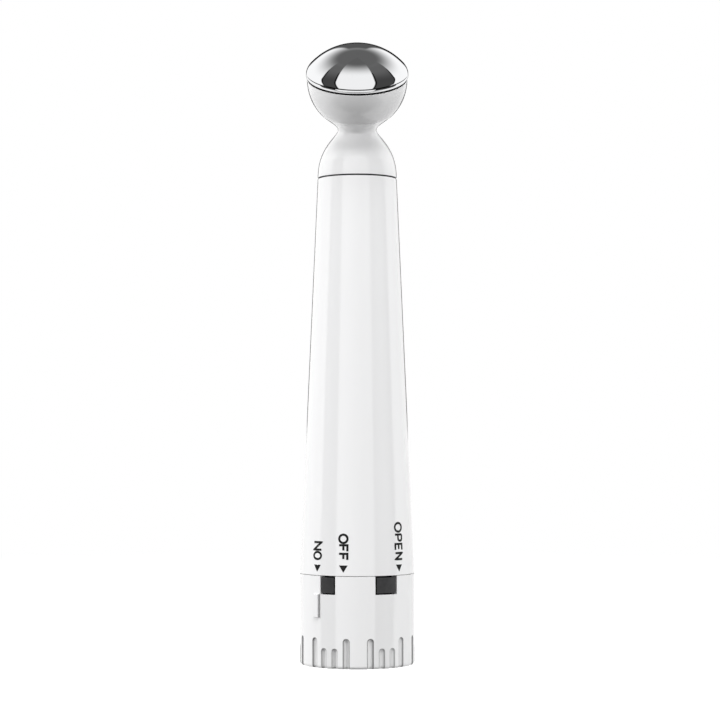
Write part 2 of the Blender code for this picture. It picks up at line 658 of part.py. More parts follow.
def build_motor(steel, ivory, rubber, brass):
    """Vibration motor: flatted can, end cap, bush and terminals in a rubber sleeve."""
    outline = flatted_outline(MOTOR_RADIUS, MOTOR_FLAT_WIDTH / 2)
    middle = Matrix.Translation((0, 0, (MOTOR_CAN_BASE + MOTOR_CAN_TOP) / 2))
    plate("motor_can", outline, MOTOR_CAN_LENGTH, middle, steel)
    middle = Matrix.Translation((0, 0, (MOTOR_CAP_BASE + MOTOR_CAP_TOP) / 2))
    plate("motor_end_cap", outline, MOTOR_CAP_LENGTH, middle, ivory)
    bush_base = MOTOR_CAN_TOP + SEAT_GAP
    bush_bore = SHAFT_RADIUS + SEAT_GAP
    bush = [(BUSH_RADIUS, bush_base + BUSH_LENGTH), (BUSH_RADIUS, bush_base), (bush_bore, bush_base),
            (bush_bore, bush_base + BUSH_LENGTH)]
    turned("motor_bush", bush, COARSE_STEPS, brass)
    size = (TERMINAL_THICKNESS, TERMINAL_WIDTH, TERMINAL_LENGTH)
    level = TERMINAL_TOP - TERMINAL_LENGTH / 2
    half = TERMINAL_SPACING / 2
    for name, side in (("terminal_positive", half), ("terminal_negative", -half)):
        block(name, size, Matrix.Translation((side, 0, level)), brass)
    sleeve_outline = [(0, SLEEVE_TOP), (handle_bore(SLEEVE_TOP) - SEAT_GAP, SLEEVE_TOP),
                      (handle_bore(SLEEVE_BASE) - SEAT_GAP, SLEEVE_BASE), (0, SLEEVE_BASE)]
    sleeve = turned("motor_sleeve", sleeve_outline, MEDIUM_STEPS, rubber)
    pocket = flatted_outline(MOTOR_RADIUS + SEAT_GAP, MOTOR_FLAT_WIDTH / 2 + SEAT_GAP)
    middle = Matrix.Translation((0, 0, (SLEEVE_BASE + SLEEVE_TOP) / 2))
    cutter = plate("sleeve_pocket_cutter", pocket, SLEEVE_TOP - SLEEVE_BASE + 2 * CUT_OVERRUN, middle)
    boolean(sleeve, cutter, "DIFFERENCE")


def build_rotor(steel, brass):
    """Rotor: the motor's shaft and the eccentric weight that shakes the head."""
    top = SHAFT_BASE + SHAFT_LENGTH
    shaft = [(0, top), (SHAFT_RADIUS, top), (SHAFT_RADIUS, SHAFT_BASE), (0, SHAFT_BASE)]
    turned("motor_shaft", shaft, COARSE_STEPS, steel)
    weight_top = top - SHAFT_RADIUS
    weight_base = weight_top - WEIGHT_LENGTH
    half_disc = arc((0, 0), WEIGHT_RADIUS, -math.pi / 2, math.pi / 2, 14)
    hub = arc((0, 0), WEIGHT_HUB_RADIUS, math.pi / 2, 3 * math.pi / 2, 8)
    middle = Matrix.Translation((0, 0, (weight_base + weight_top) / 2))
    weight = plate("eccentric_weight", half_disc + hub, WEIGHT_LENGTH, middle, brass)
    bore = SHAFT_RADIUS + SEAT_GAP
    bore_outline = [(0, weight_top + CUT_OVERRUN), (bore, weight_top + CUT_OVERRUN),
                    (bore, weight_base - CUT_OVERRUN), (0, weight_base - CUT_OVERRUN)]
    boolean(weight, turned("weight_bore_cutter", bore_outline, COARSE_STEPS), "DIFFERENCE")


def build_holder(black):
    """Battery holder: slotted tube with a closed end, a foot flange and four tapered fins."""
    flange_radius = handle_bore(HOLDER_BASE + HOLDER_FLANGE) - SEAT_GAP
    flange_top = HOLDER_BASE + HOLDER_FLANGE
    outline = [(0, HOLDER_TOP), (HOLDER_RADIUS, HOLDER_TOP), (HOLDER_RADIUS, flange_top),
               (flange_radius, flange_top), (flange_radius, HOLDER_BASE), (HOLDER_BORE, HOLDER_BASE),
               (HOLDER_BORE, HOLDER_END), (0, HOLDER_END)]
    holder = turned("battery_holder", outline, MEDIUM_STEPS, black)
    root = HOLDER_RADIUS - FUSE_DEPTH
    fin_base = flange_top - HOLDER_FLANGE / 2
    fin_outline = [(root, fin_base), (handle_bore(fin_base) - SEAT_GAP, fin_base),
                   (handle_bore(HOLDER_END) - SEAT_GAP, HOLDER_END), (root, HOLDER_END)]
    upright = Matrix.Rotation(math.pi / 2, 4, "X")
    for number, azimuth in enumerate(FIN_AZIMUTHS):
        place = azimuth_place(azimuth, 0, 0) @ upright
        boolean(holder, plate(f"fin_{number}", fin_outline, FIN_THICKNESS, place), "UNION")
    middle = (HOLDER_BASE + HOLDER_END) / 2
    window = block("holder_window_cutter", (4 * HOLDER_RADIUS, HOLDER_WINDOW_WIDTH, HOLDER_WINDOW_LENGTH),
                   Matrix.Translation((0, 0, middle)))
    boolean(holder, window, "DIFFERENCE")
    strip_room = STRIP_WIDTH + 2 * SEAT_GAP
    channel_depth = flange_radius - HOLDER_RADIUS
    channel = block("strip_channel_cutter",
                    (strip_room, channel_depth + CUT_OVERRUN, HOLDER_FLANGE + 2 * CUT_OVERRUN),
                    Matrix.Translation((0, HOLDER_RADIUS + (channel_depth + CUT_OVERRUN) / 2,
                                        HOLDER_BASE + HOLDER_FLANGE / 2)))
    boolean(holder, channel, "DIFFERENCE")
    tail_slot = block("tail_slot_cutter",
                      (CONTACT_THICKNESS + 2 * SEAT_GAP, TAIL_WIDTH + 2 * SEAT_GAP,
                       HOLDER_END_WALL + 2 * CUT_OVERRUN),
                      Matrix.Translation((TAIL_OFFSET, 0, HOLDER_END + HOLDER_END_WALL / 2)))
    boolean(holder, tail_slot, "DIFFERENCE")


def build_cell(sleeve_colour):
    """Battery cell of the slim size, its nub towards the head."""
    body_top = CELL_TOP - NUB_HEIGHT
    edge = CELL_RADIUS - CELL_EDGE_RADIUS
    outline = [(0, CELL_TOP), (NUB_RADIUS, CELL_TOP), (NUB_RADIUS, body_top)]
    outline += arc((edge, body_top - CELL_EDGE_RADIUS), CELL_EDGE_RADIUS, math.pi / 2, 0, 2)
    outline += arc((edge, CELL_BASE_HEIGHT + CELL_EDGE_RADIUS), CELL_EDGE_RADIUS, 0, -math.pi / 2, 2)
    outline += [(0, CELL_BASE_HEIGHT)]
    turned("battery_cell", outline, MEDIUM_STEPS, sleeve_colour)


def build_contacts(brass):
    """Positive contact in the holder's end and the strip that leads down to the cap."""
    disc_top = HOLDER_END - SEAT_GAP
    disc_base = disc_top - CONTACT_THICKNESS
    dimple_base = CELL_TOP + SEAT_GAP
    outline = [(0, disc_top), (CONTACT_DISC_RADIUS, disc_top), (CONTACT_DISC_RADIUS, disc_base),
               (DIMPLE_RADIUS, disc_base), (DIMPLE_RADIUS / 2, dimple_base), (0, dimple_base)]
    contact = turned("positive_contact", outline, COARSE_STEPS, brass)
    tail_base = disc_base + CONTACT_THICKNESS / 2
    tail_top = HOLDER_TOP + TAIL_LENGTH
    tail = block("contact_tail", (CONTACT_THICKNESS, TAIL_WIDTH, tail_top - tail_base),
                 Matrix.Translation((TAIL_OFFSET, 0, (tail_base + tail_top) / 2)))
    boolean(contact, tail, "UNION")
    foot_base = PLATE_TOP + TONGUE_RISE + SEAT_GAP
    outer = STRIP_INNER + STRIP_THICKNESS
    profile = [(STRIP_INNER, HOLDER_TOP), (STRIP_INNER, foot_base), (outer + STRIP_FOOT, foot_base),
               (outer + STRIP_FOOT, foot_base + STRIP_THICKNESS), (outer, foot_base + STRIP_THICKNESS),
               (outer, HOLDER_TOP)]
    upright = azimuth_place(180, 0, 0) @ Matrix.Rotation(math.pi / 2, 4, "X")
    plate("contact_strip", profile, STRIP_WIDTH, upright, brass)


def wire_route(start, end, bulge):
    """Return a smooth route that rises from one solder point to another and bows sideways."""
    points = []
    for index in range(WIRE_POINTS + 1):
        share = index / WIRE_POINTS
        ease = share * share * (3 - 2 * share)
        bow = math.sin(math.pi * share) ** 2
        flat = start.lerp(end, ease) + bulge * bow
        points.append(Vector((flat.x, flat.y, start.z + (end.z - start.z) * share)))
    return points


def build_wires(red, black):
    """Two wires from the contacts to the motor's terminals."""
    end_level = TERMINAL_TOP - TERMINAL_LENGTH - SEAT_GAP
    half = TERMINAL_SPACING / 2
    start = Vector((TAIL_OFFSET, 0, HOLDER_TOP + TAIL_LENGTH + SEAT_GAP))
    end = Vector((half, 0, end_level))
    tube("wire_positive", wire_route(start, end, Vector((0, -WIRE_BOW_POSITIVE, 0))), WIRE_RADIUS, 2, red)
    start = Vector((0, STRIP_INNER + STRIP_THICKNESS / 2, HOLDER_TOP + SEAT_GAP))
    end = Vector((-half, 0, end_level))
    tube("wire_negative", wire_route(start, end, Vector((-WIRE_BOW_NEGATIVE, 0, 0))), WIRE_RADIUS, 2, black)


def main():
    """Build every piece of the pen."""
    white = finish_material("gloss_white_plastic", (0.86, 0.87, 0.88), 0.22)
    black = finish_material("black_plastic", (0.02, 0.02, 0.022), 0.4)
    rubber = finish_material("black_rubber", (0.015, 0.015, 0.015), 0.7)
    grey_rubber = finish_material("grey_rubber", (0.16, 0.16, 0.17), 0.8)
    chrome = finish_material("polished_chrome", (0.8, 0.81, 0.83), 0.05, 1.0)
    steel = finish_material("nickel_steel", (0.6, 0.6, 0.58), 0.3, 1.0)
    brass = finish_material("brass", (0.72, 0.55, 0.26), 0.3, 1.0)
    ivory = finish_material("ivory_nylon", (0.8, 0.77, 0.68), 0.5)
    red = finish_material("red_wire_cover", (0.5, 0.02, 0.02), 0.5)
    dark = finish_material("black_wire_cover", (0.02, 0.02, 0.02), 0.5)
    cell_colour = finish_material("cell_sleeve", (0.10, 0.20, 0.34), 0.35, 0.2)
    build_cap(white)
    build_spring_plate(steel)
    build_spring(steel)
    build_switch_ring(black)
    build_collar(black)
    build_handle(white, rubber)
    build_head(white)
    build_dome(chrome, steel)
    build_motor(steel, ivory, grey_rubber, brass)
    build_rotor(steel, brass)
    build_holder(black)
    build_cell(cell_colour)
    build_contacts(brass)
    build_wires(red, dark)


main()
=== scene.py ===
"""Eye massager pen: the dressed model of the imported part, standing in a white photo studio.

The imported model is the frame.  The shells that the eye meets are worked out again as fine
numpy surfaces, the other nodes keep their shape, and every piece gets a procedural finish.
Lengths are in metres.  An azimuth is counted in degrees from the front (-Y) towards +X.
"""

import logging
import math
from dataclasses import dataclass
from enum import Enum

import bpy
import numpy as np
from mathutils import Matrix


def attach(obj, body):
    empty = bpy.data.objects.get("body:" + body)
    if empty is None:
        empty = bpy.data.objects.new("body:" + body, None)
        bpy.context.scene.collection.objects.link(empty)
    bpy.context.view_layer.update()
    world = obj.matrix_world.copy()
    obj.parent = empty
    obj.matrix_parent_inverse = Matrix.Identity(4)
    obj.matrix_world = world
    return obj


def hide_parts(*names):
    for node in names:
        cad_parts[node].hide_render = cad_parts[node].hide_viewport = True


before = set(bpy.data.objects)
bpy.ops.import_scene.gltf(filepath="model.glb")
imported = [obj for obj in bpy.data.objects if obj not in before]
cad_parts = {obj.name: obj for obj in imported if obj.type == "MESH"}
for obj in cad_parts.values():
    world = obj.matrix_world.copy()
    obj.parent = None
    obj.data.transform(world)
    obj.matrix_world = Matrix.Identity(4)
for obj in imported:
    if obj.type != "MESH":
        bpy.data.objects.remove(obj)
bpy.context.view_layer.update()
LOG = logging.getLogger("eye_massager")

MM = 0.001
SHARP_ANGLE = math.radians(32.0)
HOLD = 0.04 * MM
COAT_ROUGHNESS = 0.03
NO_FANS = np.empty((0, 3), int)

Colour = tuple[float, float, float]
Tree = bpy.types.NodeTree
Socket = bpy.types.NodeSocket
Piece = bpy.types.Object


class Body(Enum):
    """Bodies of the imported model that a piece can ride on."""

    HANDLE = "handle"
    ROTOR = "rotor"
    SWITCH = "switch"
    CAP = "cap"
    BATTERY = "battery"


class Reading(Enum):
    """Way in which a word runs along the pen."""

    UPWARDS = 1
    DOWNWARDS = -1


# Numpy surfaces


def smooth_step(value: np.ndarray, low: float, high: float) -> np.ndarray:
    """Ease from 0 to 1 between two limits: 3t squared minus 2t cubed, t the share of the way.

    Args:
        value: Numbers to ease.
        low: Value where the result is 0.
        high: Value where the result is 1.

    Returns:
        Eased numbers between 0 and 1.
    """
    share = np.clip((value - low) / (high - low), 0.0, 1.0)
    return share * share * (3.0 - 2.0 * share)


def fade(value: np.ndarray, low: float, high: float) -> np.ndarray:
    """Ease from 1 to 0 between two limits: 1 less the smooth step."""
    return 1 - smooth_step(value, low, high)


def mix(under: np.ndarray, over: np.ndarray | float, share: np.ndarray) -> np.ndarray:
    """Mix two values: (1 - share) of the first and the share of the second."""
    return under * (1 - share) + over * share


def spaced(values: np.ndarray, least: float) -> np.ndarray:
    """Drop each of some rising numbers that follows the one before it too closely."""
    return values[np.concatenate(([True], np.diff(values) > least))]


def bezier(start: tuple, pull: tuple, catch: tuple, end: tuple, rows: int) -> np.ndarray:
    """Cubic Bezier curve: the four corners weighted by the Bernstein terms of t from 0 to 1.

    Args:
        start: First point (r, z).
        pull: Point that pulls the curve as it leaves the start.
        catch: Point that pulls the curve as it nears the end.
        end: Last point (r, z).
        rows: Number of points.

    Returns:
        Array of points, one row each.
    """
    t = np.linspace(0.0, 1.0, rows)[:, None]
    weights = ((1 - t) ** 3, 3 * t * (1 - t) ** 2, 3 * t * t * (1 - t), t ** 3)
    corners = (start, pull, catch, end)
    return sum(w * np.array(c) for w, c in zip(weights, corners))


def arc(centre: tuple, radius: float, start: float, end: float, rows: int) -> np.ndarray:
    """Circular arc: centre plus radius times (cos a, sin a), a running between two angles.

    Args:
        centre: Centre (r, z).
        radius: Radius of the arc.
        start: First angle in degrees from the +r axis.
        end: Last angle in degrees.
        rows: Number of points.

    Returns:
        Array of points, one row each.
    """
    a = np.radians(np.linspace(start, end, rows))
    return np.stack((centre[0] + radius * np.cos(a), centre[1] + radius * np.sin(a)), axis=-1)


def inset(curve: np.ndarray, distance: float) -> np.ndarray:
    """Shift a rising (r, z) curve towards the axis, square to its own direction.

    Args:
        curve: Points of the curve.
        distance: Length of the shift.

    Returns:
        Shifted points.
    """
    along = np.gradient(curve, axis=0)
    along /= np.linalg.norm(along, axis=1, keepdims=True)
    return curve + distance * np.stack((-along[:, 1], along[:, 0]), axis=-1)


def eased(corners: list, cut: float = 0.06 * MM, segments: int = 4, closed: bool = True) -> np.ndarray:
    """Round every corner of an outline and hold the flats on both sides of the rounding.

    Corner P becomes the quadratic Bezier curve from P + cut * a over P to P + cut * b, where
    a and b are unit vectors towards its neighbours.  One more point stands HOLD before and
    after the curve, so that smooth shading does not creep over the flats.

    Args:
        corners: Outline corners (r, z).
        cut: Length that the rounding takes from each side.
        segments: Steps of each rounding.
        closed: Whether the last corner joins the first; otherwise both ends stay as they are.

    Returns:
        Array of outline points.
    """
    points = np.array(corners, float)
    back = np.roll(points, 1, axis=0) - points
    ahead = np.roll(points, -1, axis=0) - points
    back /= np.linalg.norm(back, axis=1, keepdims=True)
    ahead /= np.linalg.norm(ahead, axis=1, keepdims=True)
    t = np.linspace(0.0, 1.0, segments + 1)[None, :, None]
    start = (points + cut * back)[:, None, :]
    end = (points + cut * ahead)[:, None, :]
    curve = (1 - t) ** 2 * start + 2 * t * (1 - t) * points[:, None, :] + t * t * end
    before = start + HOLD * back[:, None, :]
    after = end + HOLD * ahead[:, None, :]
    rounded = np.concatenate((before, curve, after), axis=1)
    if closed:
        return rounded.reshape(-1, 2)
    inner = rounded[1:-1].reshape(-1, 2)
    return np.concatenate((points[:1], inner, points[-1:]))


def turn(outline: np.ndarray, azimuths: np.ndarray) -> np.ndarray:
    """Turn an outline about Z: x = r sin a, y = -r cos a, z unchanged.

    Args:
        outline: Points (r, z), either one row each or one such table for every azimuth.
        azimuths: Azimuths in degrees, one for each column.

    Returns:
        Grid of points: columns round the axis, rows along the outline.
    """
    a = np.radians(azimuths)[:, None]
    r = np.broadcast_to(outline[..., 0], (len(azimuths), outline.shape[-2]))
    z = np.broadcast_to(outline[..., 1], r.shape)
    return np.stack((r * np.sin(a), -r * np.cos(a), z), axis=-1)


def even_azimuths(columns: int) -> np.ndarray:
    """Azimuths that share a full turn evenly."""
    return np.arange(columns) * (360.0 / columns)


def joined_azimuths(parts: tuple, least: float) -> np.ndarray:
    """Join azimuths into one rising series with at least a given step."""
    return spaced(np.unique(np.round(np.concatenate(parts), 3)), least)


def signed(azimuth: np.ndarray) -> np.ndarray:
    """Azimuths counted from -180 to 180 degrees."""
    return (azimuth + 180.0) % 360.0 - 180.0


def within(azimuth: np.ndarray, ranges: tuple) -> np.ndarray:
    """Tell for each azimuth whether it lies in one of the signed ranges."""
    starts, ends = np.array(ranges).T[:, :, None]
    return ((signed(azimuth) > starts) & (signed(azimuth) < ends)).any(axis=0)


def into_scene(name: str, data: bpy.types.ID) -> Piece:
    """Make an object of a mesh, lamp or camera and link it to the scene at the origin.

    Args:
        name: Name of the object.
        data: Its mesh, lamp or camera.

    Returns:
        The new object.
    """
    thing = bpy.data.objects.new(name, data)
    bpy.context.scene.collection.objects.link(thing)
    return thing


def mesh_piece(name: str, points: np.ndarray, quads: np.ndarray, fans: np.ndarray = NO_FANS) -> Piece:
    """Put faces into a mesh object, turned outwards by the sign of the volume that they close.

    The volume is a sixth of the sum of a . (b x c) over all triangles a, b, c.

    Args:
        name: Name of the piece.
        points: Points, one row each.
        quads: Four point indices for each four-sided face.
        fans: Three point indices for each triangle.

    Returns:
        The object, linked to the scene at the origin.
    """
    triangles = np.concatenate((quads[:, (0, 1, 2)], quads[:, (0, 2, 3)], fans))
    a, b, c = (points[triangles[:, k]] for k in range(3))
    if np.einsum("ij,ij->", a, np.cross(b, c)) < 0:
        quads, fans = quads[:, ::-1], fans[:, ::-1]
    corners = np.concatenate((quads.ravel(), fans.ravel())).astype(np.int32)
    starts = np.concatenate((np.arange(len(quads)) * 4, quads.size + np.arange(len(fans)) * 3))
    mesh = bpy.data.meshes.new(name)
    mesh.vertices.add(len(points))
    mesh.vertices.foreach_set("co", points.astype(np.float32).ravel())
    mesh.loops.add(len(corners))
    mesh.loops.foreach_set("vertex_index", corners)
    mesh.polygons.add(len(starts))
    mesh.polygons.foreach_set("loop_start", starts.astype(np.int32))
    mesh.update(calc_edges=True)
    mesh.shade_smooth()
    mesh.set_sharp_from_angle(angle=SHARP_ANGLE)
    return into_scene(name, mesh)


def ring_piece(name: str, grid: np.ndarray, closed: bool = True) -> Piece:
    """Make a closed skin of a grid whose columns go full circle.

    Quads join columns i, i + 1 and rows j, j + 1.  With a closed outline the last row joins
    the first.  With an open one the first and last rows each shrink to one pole point, which
    a fan of triangles joins to the nearest ring.

    Args:
        name: Name of the piece.
        grid: Points: columns, rows, three coordinates.
        closed: Whether the outline is closed.

    Returns:
        The new object.
    """
    if not closed:
        poles = grid[0, (0, -1)]
        grid = grid[:, 1:-1]
    columns, rows = grid.shape[:2]
    here = np.arange(columns * rows).reshape(columns, rows)
    beside = np.roll(here, -1, axis=0)
    points = grid.reshape(-1, 3)
    if closed:
        ahead, across = np.roll(here, -1, axis=1), np.roll(beside, -1, axis=1)
        quads = np.stack((here, beside, across, ahead), axis=-1)
        return mesh_piece(name, points, quads.reshape(-1, 4))
    quads = np.stack((here[:, :-1], beside[:, :-1], beside[:, 1:], here[:, 1:]), axis=-1)
    first = np.full(columns, columns * rows)
    low = np.stack((beside[:, 0], here[:, 0], first), axis=-1)
    high = np.stack((here[:, -1], beside[:, -1], first + 1), axis=-1)
    points = np.concatenate((points, poles))
    return mesh_piece(name, points, quads.reshape(-1, 4), np.concatenate((low, high)))


def mark_points(piece: Piece, name: str, values: np.ndarray) -> None:
    """Store one number for each point of a piece.

    Args:
        piece: The piece.
        name: Name of the attribute.
        values: Numbers, in the order of the points.
    """
    attribute = piece.data.attributes.new(name, "FLOAT", "POINT")
    attribute.data.foreach_set("value", values.astype(np.float32).ravel())


def read_rows(items: bpy.types.bpy_prop_collection, name: str) -> np.ndarray:
    """Read a property of three numbers from all points or faces of a mesh, one row each.

    Args:
        items: Points or faces of a mesh.
        name: Name of the property.

    Returns:
        The numbers, one row for each point or face.
    """
    values = np.empty(len(items) * 3, np.float32)
    items.foreach_get(name, values)
    return values.reshape(-1, 3).astype(float)


def tube_grid(path: np.ndarray, radius: float, sides: int) -> np.ndarray:
    """Carry a circle along a path: path point plus radius (n cos a + b sin a).

    b is the path's direction crossed with a fixed side direction, n completes the frame.

    Args:
        path: Points of the centre line.
        radius: Radius of the circle.
        sides: Number of points round the circle.

    Returns:
        Grid of points: sides round the circle, rows along the path, ends drawn to a pole.
    """
    along = np.gradient(path, axis=0)
    along /= np.linalg.norm(along, axis=1, keepdims=True)
    side = np.cross(along, np.array((0.31, 0.17, 0.93)))
    side /= np.linalg.norm(side, axis=1, keepdims=True)
    normal = np.cross(side, along)
    a = np.linspace(0.0, 2 * np.pi, sides, endpoint=False)[:, None, None]
    body = path[None] + radius * (np.cos(a) * normal[None] + np.sin(a) * side[None])
    ends = np.broadcast_to(path[None, (0, -1)], (sides, 2, 3))
    return np.concatenate((ends[:, :1], body, ends[:, 1:]), axis=1)


def finished(piece: Piece, body: Body, finish: "Finish", *nodes: str) -> Piece:
    """Dress a piece, let it ride on its body and stand for the CAD nodes that it replaces.

    Args:
        piece: The new piece.
        body: Body that carries it.
        finish: Finish of its surface.
        nodes: CAD nodes that it stands for.

    Returns:
        The same piece.
    """
    piece.data.materials.clear()
    piece.data.materials.append(finish.material())
    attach(piece, body.value)
    if nodes:
        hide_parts(*nodes)
    LOG.info("%s: %d faces on body %s", piece.name, len(piece.data.polygons), body.value)
    return piece


# Finishes


def feed(tree: Tree, node: bpy.types.Node, feeds: dict) -> None:
    """Feed inputs of a node.

    Args:
        tree: Node tree that holds the node.
        node: The node.
        feeds: A socket to link or a plain value for each input, by name or by number.
    """
    for key, value in feeds.items():
        if isinstance(value, Socket):
            tree.links.new(value, node.inputs[key])
        else:
            node.inputs[key].default_value = value


def add_node(tree: Tree, kind: str, feeds: dict, **settings: object) -> bpy.types.Node:
    """Add a shader node, set its properties and feed its inputs.

    Args:
        tree: Node tree that gets the node.
        kind: Type of the node, without ShaderNode in front.
        feeds: A socket to link or a plain value for each input, by name or by number.
        settings: Properties of the node.

    Returns:
        The new node.
    """
    node = tree.nodes.new("ShaderNode" + kind)
    for name, value in settings.items():
        setattr(node, name, value)
    feed(tree, node, feeds)
    return node


def shader_group(name: str, inputs: dict[str, float], outputs: tuple[str, ...]) -> tuple:
    """Start a shader node group with float sockets.

    Args:
        name: Name of the group.
        inputs: Input names with their default values.
        outputs: Output names.

    Returns:
        The group, its input node and its output node.
    """
    group = bpy.data.node_groups.new(name, "ShaderNodeTree")
    for label, value in inputs.items():
        socket = group.interface.new_socket(label, in_out="INPUT", socket_type="NodeSocketFloat")
        socket.default_value = value
    for label in outputs:
        group.interface.new_socket(label, in_out="OUTPUT", socket_type="NodeSocketFloat")
    return group, group.nodes.new("NodeGroupInput"), group.nodes.new("NodeGroupOutput")


def object_point(tree: Tree, stretch: Colour = (1.0, 1.0, 1.0)) -> Socket:
    """Return the socket of the object coordinates, stretched along each axis."""
    here = tree.nodes.new("ShaderNodeTexCoord").outputs["Object"]
    return add_node(tree, "Mapping", {"Vector": here, "Scale": stretch}).outputs["Vector"]


def noise(tree: Tree, point: Socket, detail: float, scale: float | Socket) -> Socket:
    """Add a noise texture over a point and return its value."""
    return add_node(tree, "TexNoise", {"Vector": point, "Detail": detail, "Scale": scale}).outputs["Fac"]


def spread(tree: Tree, value: Socket, low: float, high: float) -> Socket:
    """Stretch low..high smoothly to 0..1, hold the rest at 0 or 1 and return the result."""
    feeds = {"Value": value, "From Min": low, "From Max": high}
    return add_node(tree, "MapRange", feeds, interpolation_type="SMOOTHSTEP").outputs["Result"]


def computed(
    tree: Tree, operation: str, first: Socket, second: float | Socket, clamp: bool = False
) -> Socket:
    """Add a math node over two values and return its result, clamped to 0..1 if asked for."""
    node = add_node(tree, "Math", {0: first, 1: second}, operation=operation, use_clamp=clamp)
    return node.outputs["Value"]


def grain_group() -> Tree:
    """Moulding grain: a fine noise over a broad wave, for bump and for mottled gloss.

    Returns:
        The node group.
    """
    inputs = {"Scale": 1500.0, "Swell": 180.0}
    group, source, sink = shader_group("moulding_grain", inputs, ("Height", "Mottle"))
    point = object_point(group)
    fine = noise(group, point, 3.0, source.outputs["Scale"])
    broad = noise(group, point, 1.0, source.outputs["Swell"])
    blend = add_node(group, "Mix", {"Factor": 0.35, "A": broad, "B": fine})
    feed(group, sink, {"Height": blend.outputs["Result"], "Mottle": spread(group, broad, 0.3, 0.7)})
    return group


def marks_group() -> Tree:
    """Handling marks: long faint wipes and a few fine hairlines, as one mask.

    Returns:
        The node group.
    """
    group, source, sink = shader_group("handling_marks", {"Scale": 60.0, "Amount": 0.5}, ("Mask",))
    wipe = noise(group, object_point(group, (1.0, 1.0, 0.35)), 4.0, source.outputs["Scale"])
    hair = noise(group, object_point(group, (9.0, 9.0, 0.6)), 2.0, source.outputs["Scale"])
    both = computed(group, "MAXIMUM", spread(group, wipe, 0.5, 0.75), spread(group, hair, 0.66, 0.72))
    feed(group, sink, {"Mask": computed(group, "MULTIPLY", both, source.outputs["Amount"])})
    return group


def wear_group() -> Tree:
    """Edge wear: the convex edges, broken up by noise, as a mask.

    Returns:
        The node group.
    """
    group, source, sink = shader_group("edge_wear", {"Amount": 0.5}, ("Mask",))
    edges = spread(group, group.nodes.new("ShaderNodeNewGeometry").outputs["Pointiness"], 0.52, 0.6)
    broken = spread(group, noise(group, object_point(group), 3.0, 900.0), 0.4, 0.62)
    worn = computed(group, "MULTIPLY", edges, broken)
    feed(group, sink, {"Mask": computed(group, "MULTIPLY", worn, source.outputs["Amount"])})
    return group


GRAIN = grain_group()
MARKS = marks_group()
WEAR = wear_group()


@dataclass(frozen=True)
class Finish:
    """Surface finish of a piece, built once as a node material.

    The marks mask draws the colour to a second colour and the roughness to its upper value,
    the wear mask draws the colour to a third one on convex edges, the piece's own point
    attribute draws it to a dark one as painted shade in creases, grooves and seams, and the
    grain makes the bump.
    """

    slot: str
    colour: Colour
    marked: Colour
    worn: Colour
    roughness: tuple[float, float]
    metallic: float = 0.0
    grain: float = 1500.0
    swell: float = 180.0
    relief: float = 0.004 * MM
    marks: float = 0.4
    wear: float = 0.4
    ior: float = 1.5
    coat: float = 0.0
    # Colour of the painted shade in creases, grooves and seams.
    crease_shade: Colour = (0.03, 0.03, 0.03)
    label: str = ""

    def material(self) -> bpy.types.Material:
        """Return this finish's material, made the first time that it is asked for."""
        name = f"finish_{self.label or self.slot}"
        return bpy.data.materials.get(name) or self.build(name)

    def build(self, name: str) -> bpy.types.Material:
        """Wire the material.

        Args:
            name: Name of the material.

        Returns:
            The new material.
        """
        material = bpy.data.materials.new(name)
        material.use_nodes = True
        tree = material.node_tree
        marks = add_node(tree, "Group", {"Amount": self.marks}, node_tree=MARKS).outputs["Mask"]
        wear = add_node(tree, "Group", {"Amount": self.wear}, node_tree=WEAR).outputs["Mask"]
        grain = add_node(tree, "Group", {"Scale": self.grain, "Swell": self.swell}, node_tree=GRAIN)
        # Painted shade: a point attribute darkens the colour in creases, grooves and seams.
        painted_shade = add_node(tree, "Attribute", {}, attribute_name="crease_shade").outputs["Fac"]
        colour = self.base(tree)
        for mask, over in ((marks, self.marked), (wear, self.worn), (painted_shade, self.crease_shade)):
            colour = self.mixed(tree, mask, colour, over)
        total = computed(tree, "ADD", marks, grain.outputs["Mottle"])
        half = computed(tree, "MULTIPLY", total, 0.5)
        low, high = self.roughness
        gloss = add_node(tree, "MapRange", {"Value": half, "To Min": low, "To Max": high})
        relief = {"Strength": 1.0, "Distance": self.relief, "Height": grain.outputs["Height"]}
        bump = add_node(tree, "Bump", relief)
        feed(tree, tree.nodes["Principled BSDF"], {
            "Base Color": colour, "Metallic": self.metallic, "IOR": self.ior, "Coat Weight": self.coat,
            "Coat Roughness": COAT_ROUGHNESS, "Roughness": gloss.outputs["Result"],
            "Normal": bump.outputs["Normal"],
        })
        return material

    def base(self, tree: Tree) -> Socket:
        """Return the socket of the plain colour of the surface.

        Args:
            tree: The material's node tree.

        Returns:
            Colour socket.
        """
        node = tree.nodes.new("ShaderNodeRGB")
        node.outputs[0].default_value = (*self.colour, 1.0)
        return node.outputs[0]

    @staticmethod
    def mixed(tree: Tree, mask: Socket, under: Socket, over: Colour) -> Socket:
        """Lay a plain colour over another one through a mask and return the mixture."""
        feeds = {"Factor": mask, 6: under, 7: (*over, 1.0)}
        return add_node(tree, "Mix", feeds, data_type="RGBA").outputs[2]


@dataclass(frozen=True)
class SleevedFinish(Finish):
    """Printed sleeve of the cell: a second plain colour above a fixed height."""

    upper: Colour = (0.6, 0.6, 0.6)
    split: float = 40.0 * MM

    def base(self, tree: Tree) -> Socket:
        """Return the colour of the sleeve, which changes at the split.

        Args:
            tree: The material's node tree.

        Returns:
            Colour socket.
        """
        parts = add_node(tree, "SeparateXYZ", {"Vector": object_point(tree)})
        above = spread(tree, parts.outputs["Z"], self.split, self.split + 0.1 * MM)
        return self.mixed(tree, above, super().base(tree), self.upper)


